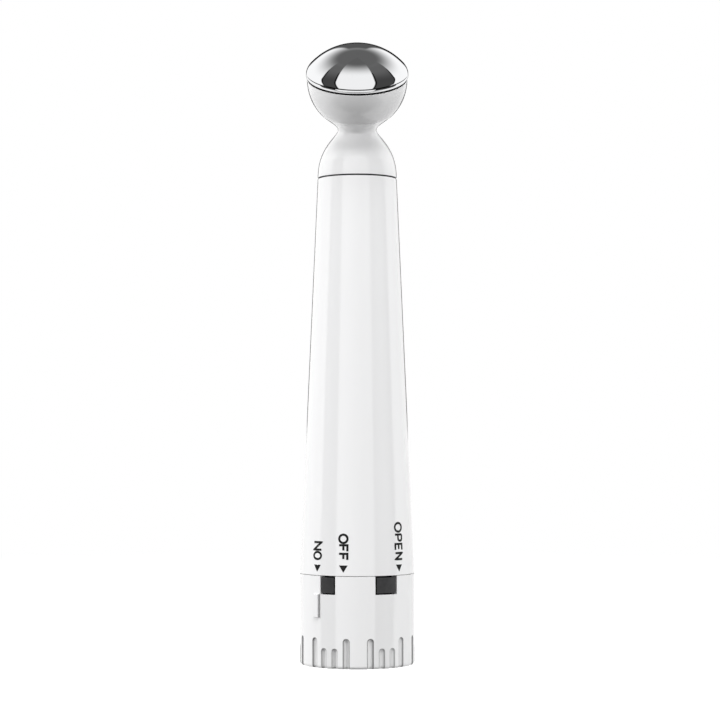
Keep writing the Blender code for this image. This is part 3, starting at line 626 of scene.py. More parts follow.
WHITE = Finish("white_plastic", (0.86, 0.86, 0.865), (0.84, 0.84, 0.84), (0.82, 0.82, 0.82), (0.10, 0.16),
               relief=0.002 * MM, marks=0.3, wear=0.2, coat=1.0)
BLACK = Finish("black_plastic", (0.032, 0.032, 0.033), (0.042, 0.042, 0.044), (0.09, 0.09, 0.09),
               (0.32, 0.46), grain=2600.0, relief=0.008 * MM)
RUBBER = Finish("black_rubber", (0.008, 0.008, 0.008), (0.014, 0.014, 0.014), (0.03, 0.03, 0.03),
                (0.6, 0.75), grain=2200.0, relief=0.01 * MM)
GREY_RUBBER = Finish("grey_rubber", (0.15, 0.15, 0.16), (0.2, 0.2, 0.2), (0.24, 0.24, 0.24), (0.65, 0.8),
                     grain=1800.0, relief=0.012 * MM)
CHROME = Finish("chrome", (0.86, 0.865, 0.875), (0.80, 0.80, 0.81), (0.9, 0.9, 0.9), (0.02, 0.05), 1.0,
                relief=0.0002 * MM, marks=0.25, wear=0.1)
NICKEL = Finish("nickel_steel", (0.62, 0.61, 0.58), (0.5, 0.49, 0.46), (0.72, 0.71, 0.69), (0.2, 0.34), 1.0,
                relief=0.003 * MM)
BRASS = Finish("brass", (0.74, 0.55, 0.25), (0.55, 0.38, 0.16), (0.86, 0.7, 0.4), (0.2, 0.36), 1.0,
               relief=0.003 * MM)
NYLON = Finish("ivory_nylon", (0.8, 0.76, 0.65), (0.74, 0.69, 0.57), (0.86, 0.83, 0.75), (0.4, 0.52),
               relief=0.006 * MM)
SLEEVE = SleevedFinish("cell_sleeve", (0.05, 0.12, 0.26), (0.07, 0.14, 0.28), (0.4, 0.42, 0.45),
                       (0.22, 0.34), relief=0.003 * MM)
RED_WIRE = Finish("red_wire", (0.45, 0.02, 0.02), (0.5, 0.05, 0.04), (0.55, 0.1, 0.08), (0.4, 0.5))
BLACK_WIRE = Finish("black_wire", (0.015, 0.015, 0.015), (0.03, 0.03, 0.03), (0.05, 0.05, 0.05), (0.4, 0.5))
# Painted shade: a darker, dull copy of the black plastic, so the gaps round the switch tabs read black.
SHADED_BLACK = Finish("black_plastic", (0.004, 0.004, 0.004), (0.008, 0.008, 0.008), (0.01, 0.01, 0.01),
                     (0.8, 0.9), label="shaded_black", ior=1.2)
INK = Finish("black_rubber", (0.006, 0.006, 0.006), (0.01, 0.01, 0.01), (0.03, 0.03, 0.03), (0.6, 0.7),
             label="ink", ior=1.3)

PLAIN_NODES = {
    "bayonet_collar": BLACK, "battery_holder": BLACK, "spring_plate": NICKEL, "motor_can": NICKEL,
    "motor_shaft": NICKEL, "dome_screw": NICKEL, "motor_end_cap": NYLON, "motor_bush": BRASS,
    "terminal_positive": BRASS, "terminal_negative": BRASS, "positive_contact": BRASS,
    "contact_strip": BRASS, "eccentric_weight": BRASS, "motor_sleeve": GREY_RUBBER,
    "wire_positive": RED_WIRE, "wire_negative": BLACK_WIRE,
}


# Sub-assemblies


@dataclass
class Handle:
    """Tapered handle with the black seal that shows in the seam under the head."""

    base: float = 18.8 * MM
    top: float = 100.04 * MM
    seam_fill: float = 0.1 * MM
    base_radius: float = 11.8 * MM
    top_radius: float = 8.2 * MM
    wall: float = 1.6 * MM
    rebate_radius: float = 7.7 * MM
    rebate_depth: float = 0.75 * MM
    seal_bore: float = 6.6 * MM
    seal_radius: float = 7.4 * MM
    seal_drop: float = 0.45 * MM
    lip_radius: float = 8.1 * MM
    lip_base: float = 0.05 * MM
    lip_top: float = 0.25 * MM
    columns: int = 256

    def radius(self, height: float | np.ndarray) -> float | np.ndarray:
        """Outer radius at a height: a straight line from the base radius to the top radius."""
        change = self.top_radius - self.base_radius
        return self.base_radius + change * (height - self.base) / (self.top - self.base)

    def shell(self) -> Piece:
        """Build the shell: the turned wall with eased edges and the rebate at its top.

        Returns:
            The new piece.
        """
        floor = self.top - self.rebate_depth
        mouth = self.base - self.seam_fill
        corners = [
            (self.base_radius, mouth), (self.top_radius, self.top), (self.rebate_radius, self.top),
            (self.rebate_radius, floor), (self.radius(floor) - self.wall, floor),
            (self.base_radius - self.wall, mouth),
        ]
        return ring_piece("handle_skin", turn(eased(corners), even_azimuths(self.columns)))

    def seal(self) -> Piece:
        """Build the seal: the ring in the rebate with a thin lip that fills the seam.

        Returns:
            The new piece.
        """
        low, lip, roof = self.top - self.seal_drop, self.top + self.lip_base, self.top + self.lip_top
        corners = [
            (self.seal_bore, low), (self.seal_radius, low), (self.seal_radius, lip),
            (self.lip_radius, lip), (self.lip_radius, roof), (self.seal_bore, roof),
        ]
        grid = turn(eased(corners, 0.03 * MM), even_azimuths(self.columns // 2))
        return ring_piece("neck_seal", grid)

    def dress(self) -> None:
        """Build and finish the handle's pieces."""
        finished(self.shell(), Body.HANDLE, WHITE, "handle_shell")
        finished(self.seal(), Body.HANDLE, RUBBER, "neck_gasket")


@dataclass
class Head:
    """Head housing that leans forward, with the chromed dome on its cup."""

    base: float = 100.34 * MM
    base_radius: float = 8.2 * MM
    waist: float = 110.36 * MM
    waist_radius: float = 4.0 * MM
    shoulder_pulls: tuple = (0.67, 0.141)
    cup_pulls: tuple = (0.17, 0.678)
    rim: float = 121.5 * MM
    rim_radius: float = 10.3 * MM
    wall: float = 1.4 * MM
    tilt: float = math.radians(29.0)
    bend_start: float = 103.6 * MM
    bend_length: float = 10.7 * MM
    spigot_end: float = 94.34 * MM
    spigot_radius: float = 6.3 * MM
    spigot_bore: float = 5.1 * MM
    ledge: float = 101.54 * MM
    web: float = 111.9 * MM
    web_top: float = 113.1 * MM
    hole: float = 1.4 * MM
    seat: float = 0.3 * MM
    crown_radius: float = 13.2 * MM
    dome_height: float = 6.7 * MM
    crown_angle: float = 48.0
    flank_radius: float = 2.69 * MM
    flank_angle: float = 80.0
    bead_centre: float = 10.0 * MM
    bead_radius: float = 0.48 * MM
    bead_angle: float = 42.0
    groove_depth: float = 0.3 * MM
    skirt_radius: float = 8.6 * MM
    skirt_wall: float = 1.0 * MM
    skirt_depth: float = 1.3 * MM
    dome_wall: float = 1.2 * MM
    hollow_angle: float = 79.0
    post_bore: float = 1.1 * MM
    post_depth: float = 4.8 * MM
    shade_band: float = 0.02 * MM
    columns: int = 192

    def leaned(self, grid: np.ndarray) -> np.ndarray:
        """Lean the straight head forward along an arc of constant radius.

        With s the height above the start of the bend, held between 0 and the bend's length,
        the centre line follows an arc of radius length / tilt, then a straight line along the
        tilted axis, and each point keeps its offset square to that line.

        Args:
            grid: Points of the straight head.

        Returns:
            Points of the leaning head.
        """
        x, y, z = grid[..., 0], grid[..., 1], grid[..., 2]
        bend_radius = self.bend_length / self.tilt
        angle = np.clip(z - self.bend_start, 0.0, self.bend_length) / bend_radius
        beyond = np.maximum(z - self.bend_start - self.bend_length, 0.0)
        centre_y = -bend_radius * (1 - np.cos(angle)) - beyond * np.sin(angle)
        centre_z = np.minimum(z, self.bend_start) + bend_radius * np.sin(angle) + beyond * np.cos(angle)
        return np.stack((x, centre_y + y * np.cos(angle), centre_z + y * np.sin(angle)), axis=-1)

    def housing(self) -> Piece:
        """Build the housing: spigot, shoulder, waist and cup as one turned and leaned skin.

        Returns:
            The new piece.
        """
        rise, drop = self.waist - self.base, self.rim - self.waist
        out, back = [share * rise for share in self.shoulder_pulls]
        shoulder = bezier((self.base_radius, self.base), (self.base_radius, self.base + out),
                          (self.waist_radius, self.waist - back), (self.waist_radius, self.waist), 56)
        out, back = [share * drop for share in self.cup_pulls]
        cup = bezier((self.waist_radius, self.waist), (self.waist_radius, self.waist + out),
                     (self.rim_radius, self.rim - back), (self.rim_radius, self.rim), 64)
        inner_shoulder = inset(shoulder, self.wall)
        inner_shoulder = inner_shoulder[inner_shoulder[:, 1] > self.ledge][::2]
        bowl = inset(cup, self.wall)
        bowl = bowl[bowl[:, 1] > self.web_top][::2]
        inner_rim = bowl[-1, 0]
        foot = eased([
            inner_shoulder[0], (inner_shoulder[0, 0], self.ledge), (self.spigot_bore, self.ledge),
            (self.spigot_bore, self.spigot_end), (self.spigot_radius, self.spigot_end),
            (self.spigot_radius, self.base), (self.base_radius, self.base), shoulder[1],
        ], closed=False)[1:-1]
        lip = eased([cup[-2], (self.rim_radius, self.rim), (inner_rim, self.rim), bowl[-2]],
                    0.12 * MM, closed=False)[1:-1]
        throat = self.waist_radius - self.wall
        web = eased([
            bowl[0], (bowl[0, 0], self.web_top), (self.hole, self.web_top), (self.hole, self.web),
            (throat, self.web), inner_shoulder[-1],
        ], 0.04 * MM, closed=False)[1:-1]
        outer = np.concatenate((foot, shoulder[1:], cup[1:-1], lip))
        outline = np.concatenate((outer, bowl[-2::-1], web, inner_shoulder[::-1]))
        piece = ring_piece("head_skin", self.leaned(turn(outline, even_azimuths(self.columns))))
        # Painted shadow: the inner part of the rim's top, where the dome sits, is marked dark.
        rim_shade = (outline[:, 1] > self.rim - self.shade_band) & (outline[:, 0] < self.rim_radius - 0.1 * MM)
        mark_points(piece, "crease_shade", np.tile(rim_shade, self.columns))
        return piece

    def dome(self) -> Piece:
        """Build the dome: a spherical crown, a steeper flank, a groove and a bead, hollow below.

        The outline is worked out upright with its zero at the rim and then leaned: the point
        (x, y, h) goes to the rim's centre plus y along the tilted plane and h along the axis.

        Returns:
            The new piece.
        """
        centre = (0.0, self.dome_height - self.crown_radius)
        crown = arc(centre, self.crown_radius, 90.0, 90.0 - self.crown_angle, 80)
        inward = self.crown_radius - self.flank_radius
        turn_off = math.radians(self.crown_angle)
        middle = (inward * math.sin(turn_off), centre[1] + inward * math.cos(turn_off))
        flank = arc(middle, self.flank_radius, 90.0 - self.crown_angle, 90.0 - self.flank_angle, 24)[1:]
        bead = arc((self.bead_centre, self.bead_radius), self.bead_radius, self.bead_angle, -80.0, 24)
        groove = np.array([(bead[0, 0] - self.groove_depth, (flank[-1, 1] + bead[0, 1]) / 2)])
        inner = self.skirt_radius - self.skirt_wall
        hollow_radius = self.crown_radius - self.dome_wall
        hollow_start = math.degrees(math.acos(inner / hollow_radius))
        hollow = arc(centre, hollow_radius, hollow_start, self.hollow_angle, 16)
        post_end = self.web_top - self.rim
        bore_end = post_end + self.post_depth
        foot = eased([
            bead[-1], (self.bead_centre, 0.0), (self.skirt_radius, 0.0),
            (self.skirt_radius, -self.skirt_depth), (inner, -self.skirt_depth), hollow[0],
        ], 0.03 * MM, closed=False)[1:-1]
        post = eased([
            hollow[-1], (hollow[-1, 0], post_end), (self.post_bore, post_end), (self.post_bore, bore_end),
            (0.0, bore_end),
        ], 0.05 * MM, closed=False)[1:]
        crown[0, 0] = 0.0
        outline = np.concatenate((crown, flank, groove, bead[:-1], foot, hollow, post))
        upright = turn(outline, even_azimuths(self.columns))
        rim_point = self.leaned(np.array([[0.0, 0.0, self.rim + self.seat]]))[0]
        x, y, h = upright[..., 0], upright[..., 1], upright[..., 2]
        cosine, sine = math.cos(self.tilt), math.sin(self.tilt)
        grid = np.stack((x, y * cosine - h * sine, y * sine + h * cosine), axis=-1) + rim_point
        piece = ring_piece("dome_skin", grid, closed=False)
        height = outline[1:-1, 1]
        # Painted shade: the groove between flank and bead and the whole underside below the rim are marked
        # dark.
        in_groove = (height < flank[-1, 1] + 1e-9) & (height > bead[0, 1] - 1e-9)
        below = height < 0.004 * MM
        mark_points(piece, "crease_shade", np.append(np.tile(in_groove | below, self.columns), (0.0, 0.0)))
        return piece

    def dress(self) -> None:
        """Build and finish the head's pieces."""
        finished(self.housing(), Body.HANDLE, WHITE, "head_housing")
        finished(self.dome(), Body.HANDLE, CHROME, "massage_dome")


@dataclass
class TwistCap:
    """Twist cap: fluted cup with two windows for the switch tabs and a pointer rib."""

    radius: float = 11.8 * MM
    height: float = 18.5 * MM
    seam_fill: float = 0.1 * MM
    bore: float = 10.2 * MM
    floor: float = 1.6 * MM
    edge: float = 0.6 * MM
    flute_width: float = 1.3 * MM
    flute_depth: float = 0.5 * MM
    flute_long: float = 6.1 * MM
    flute_short: float = 4.1 * MM
    pitch: float = 12.0
    slots: int = 5
    lead: float = 1.2
    window_height: float = 3.6 * MM
    windows: tuple = ((-39.1, -22.0), (18.2, 43.1))
    pointer: float = -43.8
    pointer_width: float = 1.4 * MM
    pointer_length: float = 4.7 * MM
    pointer_relief: float = 0.35 * MM
    nose_zone: tuple = (3.3 * MM, 6.3 * MM)
    bore_levels: tuple = (13.0 * MM, 8.0 * MM)
    ease: float = 0.06 * MM
    step: float = 0.04

    @property
    def rib_top(self) -> float:
        """Height of the pointer's upper end, level with the sills of the windows."""
        return self.height - self.window_height

    @property
    def rib_base(self) -> float:
        """Height of the pointer's lower end."""
        return self.rib_top - self.pointer_length

    def half_angle(self, width: float) -> float:
        """Half of a width round the side, in degrees."""
        return math.degrees(width / 2 / self.radius)

    def azimuths(self) -> np.ndarray:
        """Columns: an even fan, with more of them at the edges of flutes, windows and pointer.

        Returns:
            Azimuths in degrees, rising.
        """
        half_pointer = self.half_angle(self.pointer_width)
        centres = np.arange(0.0, 360.0, self.pitch)
        centres = centres[np.arange(len(centres)) % self.slots != 0] + self.lead
        near = np.array((-0.5, -0.3, -0.16, -0.05, 0.05, 0.16, 0.3))
        sides = np.array((-1, 1))[:, None]
        flutes = (centres[:, None, None] + self.half_angle(self.flute_width) * sides - near * sides).ravel()
        crisp = np.array((-self.step, 0.0, self.step, 2 * self.step))
        ends = (self.pointer - half_pointer, self.pointer + half_pointer)
        edges = np.append(np.ravel(self.windows), ends)
        fine = (edges[:, None] + crisp - self.step / 2).ravel()
        return joined_azimuths((np.arange(0.0, 360.0, 0.6), flutes % 360.0, fine % 360.0), 0.5 * self.step)

    def flutes(self, azimuth: np.ndarray, height: np.ndarray) -> tuple[np.ndarray, np.ndarray]:
        """Depth of the flutes and the painted shade in them at a point of the side.

        A round-nosed rod of radius c cuts each flute.  With s the distance from the flute's
        middle round the side and t the height above the nose's centre (0 below it), the cut is
        the square root of c squared - s squared - t squared, less c - depth, and never below 0.
        Painted shade lies along the flute's outline, where the root of s squared + t squared is
        half of its width, and thinly on its bottom.

        Args:
            azimuth: Azimuths in degrees.
            height: Heights, broadcast against the azimuths.

        Returns:
            Depth of the cut and share of painted shade.
        """
        rod = (self.flute_width ** 2 / 4 + self.flute_depth ** 2) / (2 * self.flute_depth)
        place = np.round((azimuth - self.lead) / self.pitch)
        slot = np.mod(place, self.slots)
        across = np.radians(azimuth - self.lead - place * self.pitch) * self.radius
        long_one = (slot == 1) | (slot == self.slots - 1)
        nose = np.where(long_one, self.flute_long, self.flute_short) - rod
        above = np.maximum(height - nose, 0.0)
        reach = np.maximum(rod ** 2 - across ** 2 - above ** 2, 0.0)
        cut = np.maximum(np.sqrt(reach) - (rod - self.flute_depth), 0.0)
        outside = np.hypot(across, above) - self.flute_width / 2
        line = fade(np.abs(outside + 0.04 * MM), 0.05 * MM, 0.17 * MM)
        painted_shade = np.where(long_one, 0.7, 0.3) * line + np.where(long_one, 0.05, 0.16) * (outside < 0)
        return np.where(slot == 0, 0.0, cut), np.where(slot == 0, 0.0, np.clip(painted_shade, 0.0, 1.0))

    def rib(self, azimuth: np.ndarray, height: np.ndarray) -> tuple[np.ndarray, np.ndarray]:
        """Lift of the pointer rib, and the painted shade beside it on its +azimuth side and under it.

        Args:
            azimuth: Azimuths in degrees.
            height: Heights, one row for each azimuth.

        Returns:
            Height of the relief and share of painted shade.
        """
        half = self.half_angle(self.pointer_width)
        offset = (signed(azimuth) - self.pointer)[:, None]
        level = (height > self.rib_base) & (height < self.rib_top)
        lift = np.where((np.abs(offset) < half) & level, self.pointer_relief, 0.0)
        line = fade(np.radians(np.abs(offset - half)) * self.radius, 0.1 * MM, 0.2 * MM) * level
        under = (np.abs(height - self.rib_base) < 0.03 * MM) & (np.abs(offset) < half)
        return lift, np.maximum(0.6 * line, 0.4 * under)

    def outside(self, azimuth: np.ndarray) -> tuple[np.ndarray, np.ndarray, np.ndarray]:
        """Plain outside of the shell: floor, rounded edge and straight side up to the rim.

        Args:
            azimuth: Azimuths in degrees.

        Returns:
            Radii and heights of the rows, and the height of the rim, each for every azimuth.
        """
        open_here = within(azimuth, self.windows)
        top = np.where(open_here, self.rib_top, self.height + self.seam_fill)[:, None]
        bottom = np.stack((np.linspace(0.0, self.radius - self.edge - HOLD, 6), np.zeros(6)), axis=-1)
        low = np.concatenate((bottom, arc((self.radius - self.edge, self.edge), self.edge, -90.0, 0.0, 9)))
        start, end = self.nose_zone
        sill = self.rib_base
        rows = np.concatenate((
            np.linspace(self.edge, start, 10)[1:], np.linspace(start, end, 40)[1:],
            (8.0 * MM, sill - 0.14 * MM, sill - 0.02 * MM, sill + 0.02 * MM, sill + 0.14 * MM, 12.0 * MM,
             self.rib_top - 0.1 * MM, self.rib_top - 0.06 * MM),
        ))
        upper = np.concatenate((np.full_like(top, self.rib_top + 0.1 * MM), top - self.ease - HOLD / 2,
                                top - self.ease), axis=1)
        upper[open_here] = self.rib_top - np.array((0.05, 0.045, 0.04)) * MM
        columns = np.ones((len(azimuth), 1))
        z = np.concatenate((low[:, 1] * columns, rows * columns, upper), axis=1)
        straight = np.full((len(azimuth), len(rows) + upper.shape[1]), self.radius)
        r = np.concatenate((low[:, 0] * columns, straight), axis=1)
        return r, z, top

    def shell(self) -> Piece:
        """Build the shell as one grid: floor, side with its relief, notched rim, bore, floor.

        Returns:
            The new piece.
        """
        azimuth = self.azimuths()
        r, side, top = self.outside(azimuth)
        cut, flute_shade = self.flutes(azimuth[:, None], side)
        lift, rib_shade = self.rib(azimuth, side)
        near_rim = smooth_step(r, self.radius - 2 * self.edge, self.radius - self.edge)
        r = r - cut * near_rim + lift
        # Painted shade in the flutes and beside and under the pointer rib.
        painted_shade = np.maximum(flute_shade * near_rim, rib_shade)
        ease, step = self.ease, 0.4 * self.ease
        rim_r = np.array((self.radius - step, self.radius - ease, self.bore + ease, self.bore + step,
                          self.bore, self.bore))
        rim_z = np.concatenate((top - step, top, top, top - step, top - ease, top - 2 * ease), axis=1)
        wall_z = np.array((*self.bore_levels, self.floor + ease, self.floor + step, self.floor, self.floor))
        wall_r = np.array((self.bore, self.bore, self.bore, self.bore - step, self.bore - ease, 0.0))
        columns = np.ones((len(azimuth), 1))
        r = np.concatenate((r, rim_r * columns, wall_r * columns), axis=1)
        z = np.concatenate((side, rim_z, wall_z * columns), axis=1)
        piece = ring_piece("cap_skin", turn(np.stack((r, z), axis=-1), azimuth), closed=False)
        painted_shade = np.pad(painted_shade, ((0, 0), (0, z.shape[1] - painted_shade.shape[1])))[:, 1:-1]
        mark_points(piece, "crease_shade", np.append(painted_shade.ravel(), (0.0, 0.0)))
        return piece

    def dress(self) -> None:
        """Build and finish the cap's shell."""
        finished(self.shell(), Body.CAP, WHITE, "cap_shell")


@dataclass
class SwitchRing:
    """Switch ring whose two tabs fill the windows of the cap."""

    inner: float = 8.9 * MM
    outer: float = 9.9 * MM
    base: float = 10.25 * MM
    top: float = 18.35 * MM
    tab_radius: float = 11.8 * MM
    tab_base: float = 15.2 * MM
    tabs: tuple = ((-37.64, -23.46), (19.66, 41.64))
    slot: tuple = (132.0, 236.0)
    slot_floor: float = 16.25 * MM

    def build(self) -> Piece:
        """Build the ring as one grid: radius and top height are step functions of azimuth.

        Returns:
            The new piece.
        """
        edges = np.array([e for pair in (*self.tabs, self.slot) for e in pair])
        fine = (edges[:, None] + np.array((-0.4, -0.02, 0.02, 0.4))).ravel() % 360.0
        azimuth = joined_azimuths((np.arange(0.0, 360.0, 2.0), fine), 0.03)
        notch = (azimuth > self.slot[0]) & (azimuth < self.slot[1])
        reach = np.where(within(azimuth, self.tabs), self.tab_radius, self.outer + 0.004 * MM)[:, None]
        roof = np.where(notch, self.slot_floor, self.top)[:, None]
        ease = 0.05 * MM
        one = np.ones_like(reach)
        r = np.concatenate((self.inner * one, self.inner * one, (self.outer - ease) * one, self.outer * one,
                            self.outer * one, reach - 0.002 * MM, reach, reach, reach - ease,
                            (self.inner + ease) * one), axis=1)
        z = np.concatenate((roof - ease, self.base * one + ease, self.base * one, (self.base + ease) * one,
                            (self.tab_base - 0.004 * MM) * one, self.tab_base * one,
                            (self.tab_base + ease) * one, roof - ease, roof, roof), axis=1)
        return ring_piece("switch_tabs", turn(np.stack((r, z), axis=-1), azimuth))

    def dress(self) -> None:
        """Build the ring and finish it: satin black on the tabs, and inside a darker, dull copy of the
        black as painted shade.
        """
        ring = finished(self.build(), Body.SWITCH, BLACK, "switch_ring")
        ring.data.materials.append(SHADED_BLACK.material())
        # Painted shade: every face inside the tabs' reach takes the darker black.
        inside = np.hypot(*read_rows(ring.data.polygons, "center")[:, :2].T) < self.tab_radius - 0.2 * MM
        ring.data.polygons.foreach_set("material_index", inside.astype(np.int32))


@dataclass
class PowerCell:
    """Cell with its eased edges, and the conical spring that carries it."""

    radius: float = 5.25 * MM
    base: float = 8.5 * MM
    top: float = 53.0 * MM
    nub_radius: float = 1.9 * MM
    nub_height: float = 0.9 * MM
    crimp: float = 0.35 * MM
    crimp_step: float = 0.12 * MM
    bend: float = 0.5 * MM
    chamfer: float = 0.4 * MM
    spring_base: float = 2.9 * MM
    spring_top: float = 7.9 * MM
    spring_wide: float = 4.6 * MM
    spring_narrow: float = 2.4 * MM
    spring_turns: float = 4.5
    spring_wire: float = 0.3 * MM

    def cell(self) -> Piece:
        """Build the cell: a turned can with a crimped shoulder under its nub.

        Returns:
            The new piece.
        """
        shoulder = self.top - self.nub_height
        crimp, fold = self.radius - 2 * self.crimp, shoulder - self.crimp_step
        corners = [
            (0.0, self.top), (self.nub_radius, self.top), (self.nub_radius, shoulder), (crimp, shoulder),
            (crimp, fold), (self.radius - self.crimp, fold), (self.radius, shoulder - self.bend),
            (self.radius, self.base + self.chamfer), (self.radius - self.chamfer, self.base),
            (0.0, self.base),
        ]
        grid = turn(eased(corners, 0.05 * MM, closed=False), even_azimuths(96))
        return ring_piece("cell_skin", grid, closed=False)

    def spring(self) -> Piece:
        """Build the spring: a wire along a cone spiral, radius and height linear in the turn.

        Returns:
            The new piece.
        """
        share = np.linspace(0.0, 1.0, 260)
        a = 2 * np.pi * self.spring_turns * share
        r = self.spring_wide + (self.spring_narrow - self.spring_wide) * share
        z = self.spring_base + (self.spring_top - self.spring_base) * share
        path = np.stack((r * np.cos(a), r * np.sin(a), z), axis=-1)
        return ring_piece("spring_coil", tube_grid(path, self.spring_wire, 12), closed=False)

    def dress(self) -> None:
        """Build and finish the cell and its spring."""
        finished(self.cell(), Body.BATTERY, SLEEVE, "battery_cell")
        finished(self.spring(), Body.CAP, NICKEL, "negative_spring")


@dataclass(frozen=True)
class Word:
    """One position word: its letters and where it stands.

    A letter is given with the shares of the word's length where it starts and ends.  The word
    runs between two levels, and its height goes round the pen.
    """

    name: str
    letters: tuple
    azimuth: float
    low: float
    high: float
    height: float
    reading: Reading
    arrow_azimuth: float
    arrow_width: float


WORDS = (
    Word("on", (("O", 0.0, 0.42), ("N", 0.56, 1.0)), -43.7, 21.75 * MM, 25.6 * MM, 2.0 * MM,
         Reading.UPWARDS, -43.4, 1.86 * MM),
    Word("off", (("O", 0.0, 0.33), ("F", 0.42, 0.66), ("F", 0.76, 1.0)), -14.0, 21.75 * MM, 27.25 * MM,
         1.72 * MM, Reading.DOWNWARDS, -13.7, 1.8 * MM),
    Word("open", (("O", 0.0, 0.24), ("P", 0.32, 0.49), ("E", 0.58, 0.74), ("N", 0.83, 1.0)), 46.8,
         21.7 * MM, 29.45 * MM, 1.92 * MM, Reading.DOWNWARDS, 46.4, 1.75 * MM),
)


@dataclass
class Marks:
    """Plain position words and arrows printed on the handle above the cap."""

    handle: Handle
    arrow_tip: float = 19.45 * MM
    arrow_top: float = 20.85 * MM
    stroke: float = 0.44 * MM
    film: float = 0.03 * MM
    leg: float = 0.16 * MM

    def laid(self, azimuth: float, along: np.ndarray, across: np.ndarray, lift: np.ndarray) -> np.ndarray:
        """Lay points on the cone: the angle is the azimuth plus the distance across / radius.

        Args:
            azimuth: Azimuth of the middle.
            along: Levels of the points.
            across: Distances from the middle, round the side.
            lift: Distances above the surface.

        Returns:
            Points on the side of the handle.
        """
        radius = self.handle.radius(along)
        a = np.radians(azimuth) + across / radius
        r = radius + lift
        return np.stack(np.broadcast_arrays(r * np.sin(a), -r * np.cos(a), along), axis=-1)

    def word(self, word: Word) -> Piece:
        """Lay the strokes of a word on the handle as one thin printed film.

        A stroke is a chain of points (u, v), u along the word from 0 to 1 and v from 0 at the
        foot of the letters to 1 at their head.

        Args:
            word: The word.

        Returns:
            The new object.
        """
        low, high = word.low + self.stroke / 2, word.high - self.stroke / 2
        chains = [chain for letter in word.letters for chain in self.letter(*letter)]
        skins = [self.bar(np.array(chain, float), high - low, word.height) for chain in chains]
        counts = np.cumsum([0] + [len(skin[0]) for skin in skins])
        quads = np.concatenate([skin[1] + count for skin, count in zip(skins, counts)])
        u, v, lift = np.concatenate([skin[0] for skin in skins]).T
        along = low + u if word.reading is Reading.UPWARDS else high - u
        across = (v - word.height / 2) * -float(word.reading.value)
        return mesh_piece(f"word_{word.name}", self.laid(word.azimuth, along, across, lift), quads)

    def bar(self, chain: np.ndarray, length: float, height: float) -> tuple[np.ndarray, np.ndarray]:
        """Give a chain of points the width of the stroke and the thickness of the film.

        The chain is first cut into short legs, so that the film follows the round side.  Each
        point is then pushed to both sides along the mitre: the mean of the normals of its two
        neighbouring legs, lengthened so that the bar keeps its width.

        Args:
            chain: Points (u, v) in shares of the word and of the letters.
            length: Length of the word.
            height: Height of the letters.

        Returns:
            Points (u, v, lift) and the quads of the closed bar.
        """
        path = chain * np.array((length, height))
        run = np.concatenate(([0.0], np.cumsum(np.linalg.norm(np.diff(path, axis=0), axis=1))))
        stops = spaced(np.union1d(run, np.arange(0.0, run[-1], self.leg)), 0.001 * MM)
        path = np.stack([np.interp(stops, run, path[:, k]) for k in range(2)], axis=-1)
        looped = np.allclose(chain[0], chain[-1])
        if looped:
            path = path[:-1]
        leg = np.diff(path, axis=0, append=path[:1]) if looped else np.diff(path, axis=0)
        leg /= np.linalg.norm(leg, axis=1, keepdims=True)
        normal = np.stack((-leg[:, 1], leg[:, 0]), axis=-1)
        if looped:
            before = np.roll(normal, 1, axis=0)
            after = normal
        else:
            before = np.concatenate((normal[:1], normal))
            after = np.concatenate((normal, normal[-1:]))
        mitre = before + after
        mitre /= np.maximum(np.einsum("ij,ij->i", mitre, before), 0.3)[:, None]
        sides = np.stack((path + mitre * self.stroke / 2, path - mitre * self.stroke / 2), axis=1)
        ring = np.concatenate((sides, sides[:, ::-1]), axis=1)
        lift = np.array((self.film, self.film, -self.film, -self.film))
        lift = np.broadcast_to(lift[None, :, None], (*ring.shape[:2], 1))
        points = np.concatenate((ring, lift), axis=-1)
        count = len(path)
        here = np.arange(count * 4).reshape(count, 4)
        ahead = np.roll(here, -1, axis=0) if looped else here[1:]
        there = here if looped else here[:-1]
        quads = np.stack((there, ahead, np.roll(ahead, -1, axis=1), np.roll(there, -1, axis=1)), axis=-1)
        quads = quads.reshape(-1, 4)
        if not looped:
            quads = np.concatenate((quads, here[:1, ::-1], here[-1:]))
        return points.reshape(-1, 3), quads

    def arrow(self, word: Word) -> Piece:
        """Build the arrow head under a word, which points down: a film with a closed edge.

        Args:
            word: The word.

        Returns:
            The new object.
        """
        half, tip = word.arrow_width / 2, 0.02 * MM
        across = np.array((-half, half, tip, -tip))
        level = np.array((self.arrow_top, self.arrow_top, self.arrow_tip, self.arrow_tip))
        lift = np.array((self.film, -self.film))[:, None]
        points = self.laid(word.arrow_azimuth, level, across, lift).reshape(-1, 3)
        quads = np.array((
            (0, 1, 2, 3), (7, 6, 5, 4), (0, 4, 5, 1), (1, 5, 6, 2), (2, 6, 7, 3), (3, 7, 4, 0),
        ))
        return mesh_piece(f"arrow_{word.name}", points, quads)

    @staticmethod
    def letter(shape: str, start: float, end: float) -> list:
        """Strokes of one letter between two shares of its word.

        Args:
            shape: The letter.
            start: Share of the word where it starts.
            end: Share of the word where it ends.

        Returns:
            Chains of points.
        """
        t = np.linspace(0.0, 2 * np.pi, 29)
        ring_u, ring_v = 0.5 + 0.5 * np.cos(t), 0.5 + 0.5 * np.sin(t)
        bowl = [(0.0, 1.0), (0.66, 1.0), (0.88, 0.95), (1.0, 0.82), (1.0, 0.62), (0.88, 0.5), (0.66, 0.44),
                (0.0, 0.44)]
        shapes = {
            "O": [list(zip(ring_u, ring_v))],
            "N": [[(0.0, 0.0), (0.0, 1.0), (1.0, 0.0), (1.0, 1.0)]],
            "F": [[(1.0, 1.0), (0.0, 1.0), (0.0, 0.0)], [(0.0, 0.52), (0.86, 0.52)]],
            "P": [bowl, [(0.0, 1.0), (0.0, 0.0)]],
            "E": [[(1.0, 1.0), (0.0, 1.0), (0.0, 0.0), (1.0, 0.0)], [(0.0, 0.5), (0.9, 0.5)]],
        }
        return [[(start + (end - start) * u, v) for u, v in chain] for chain in shapes[shape]]

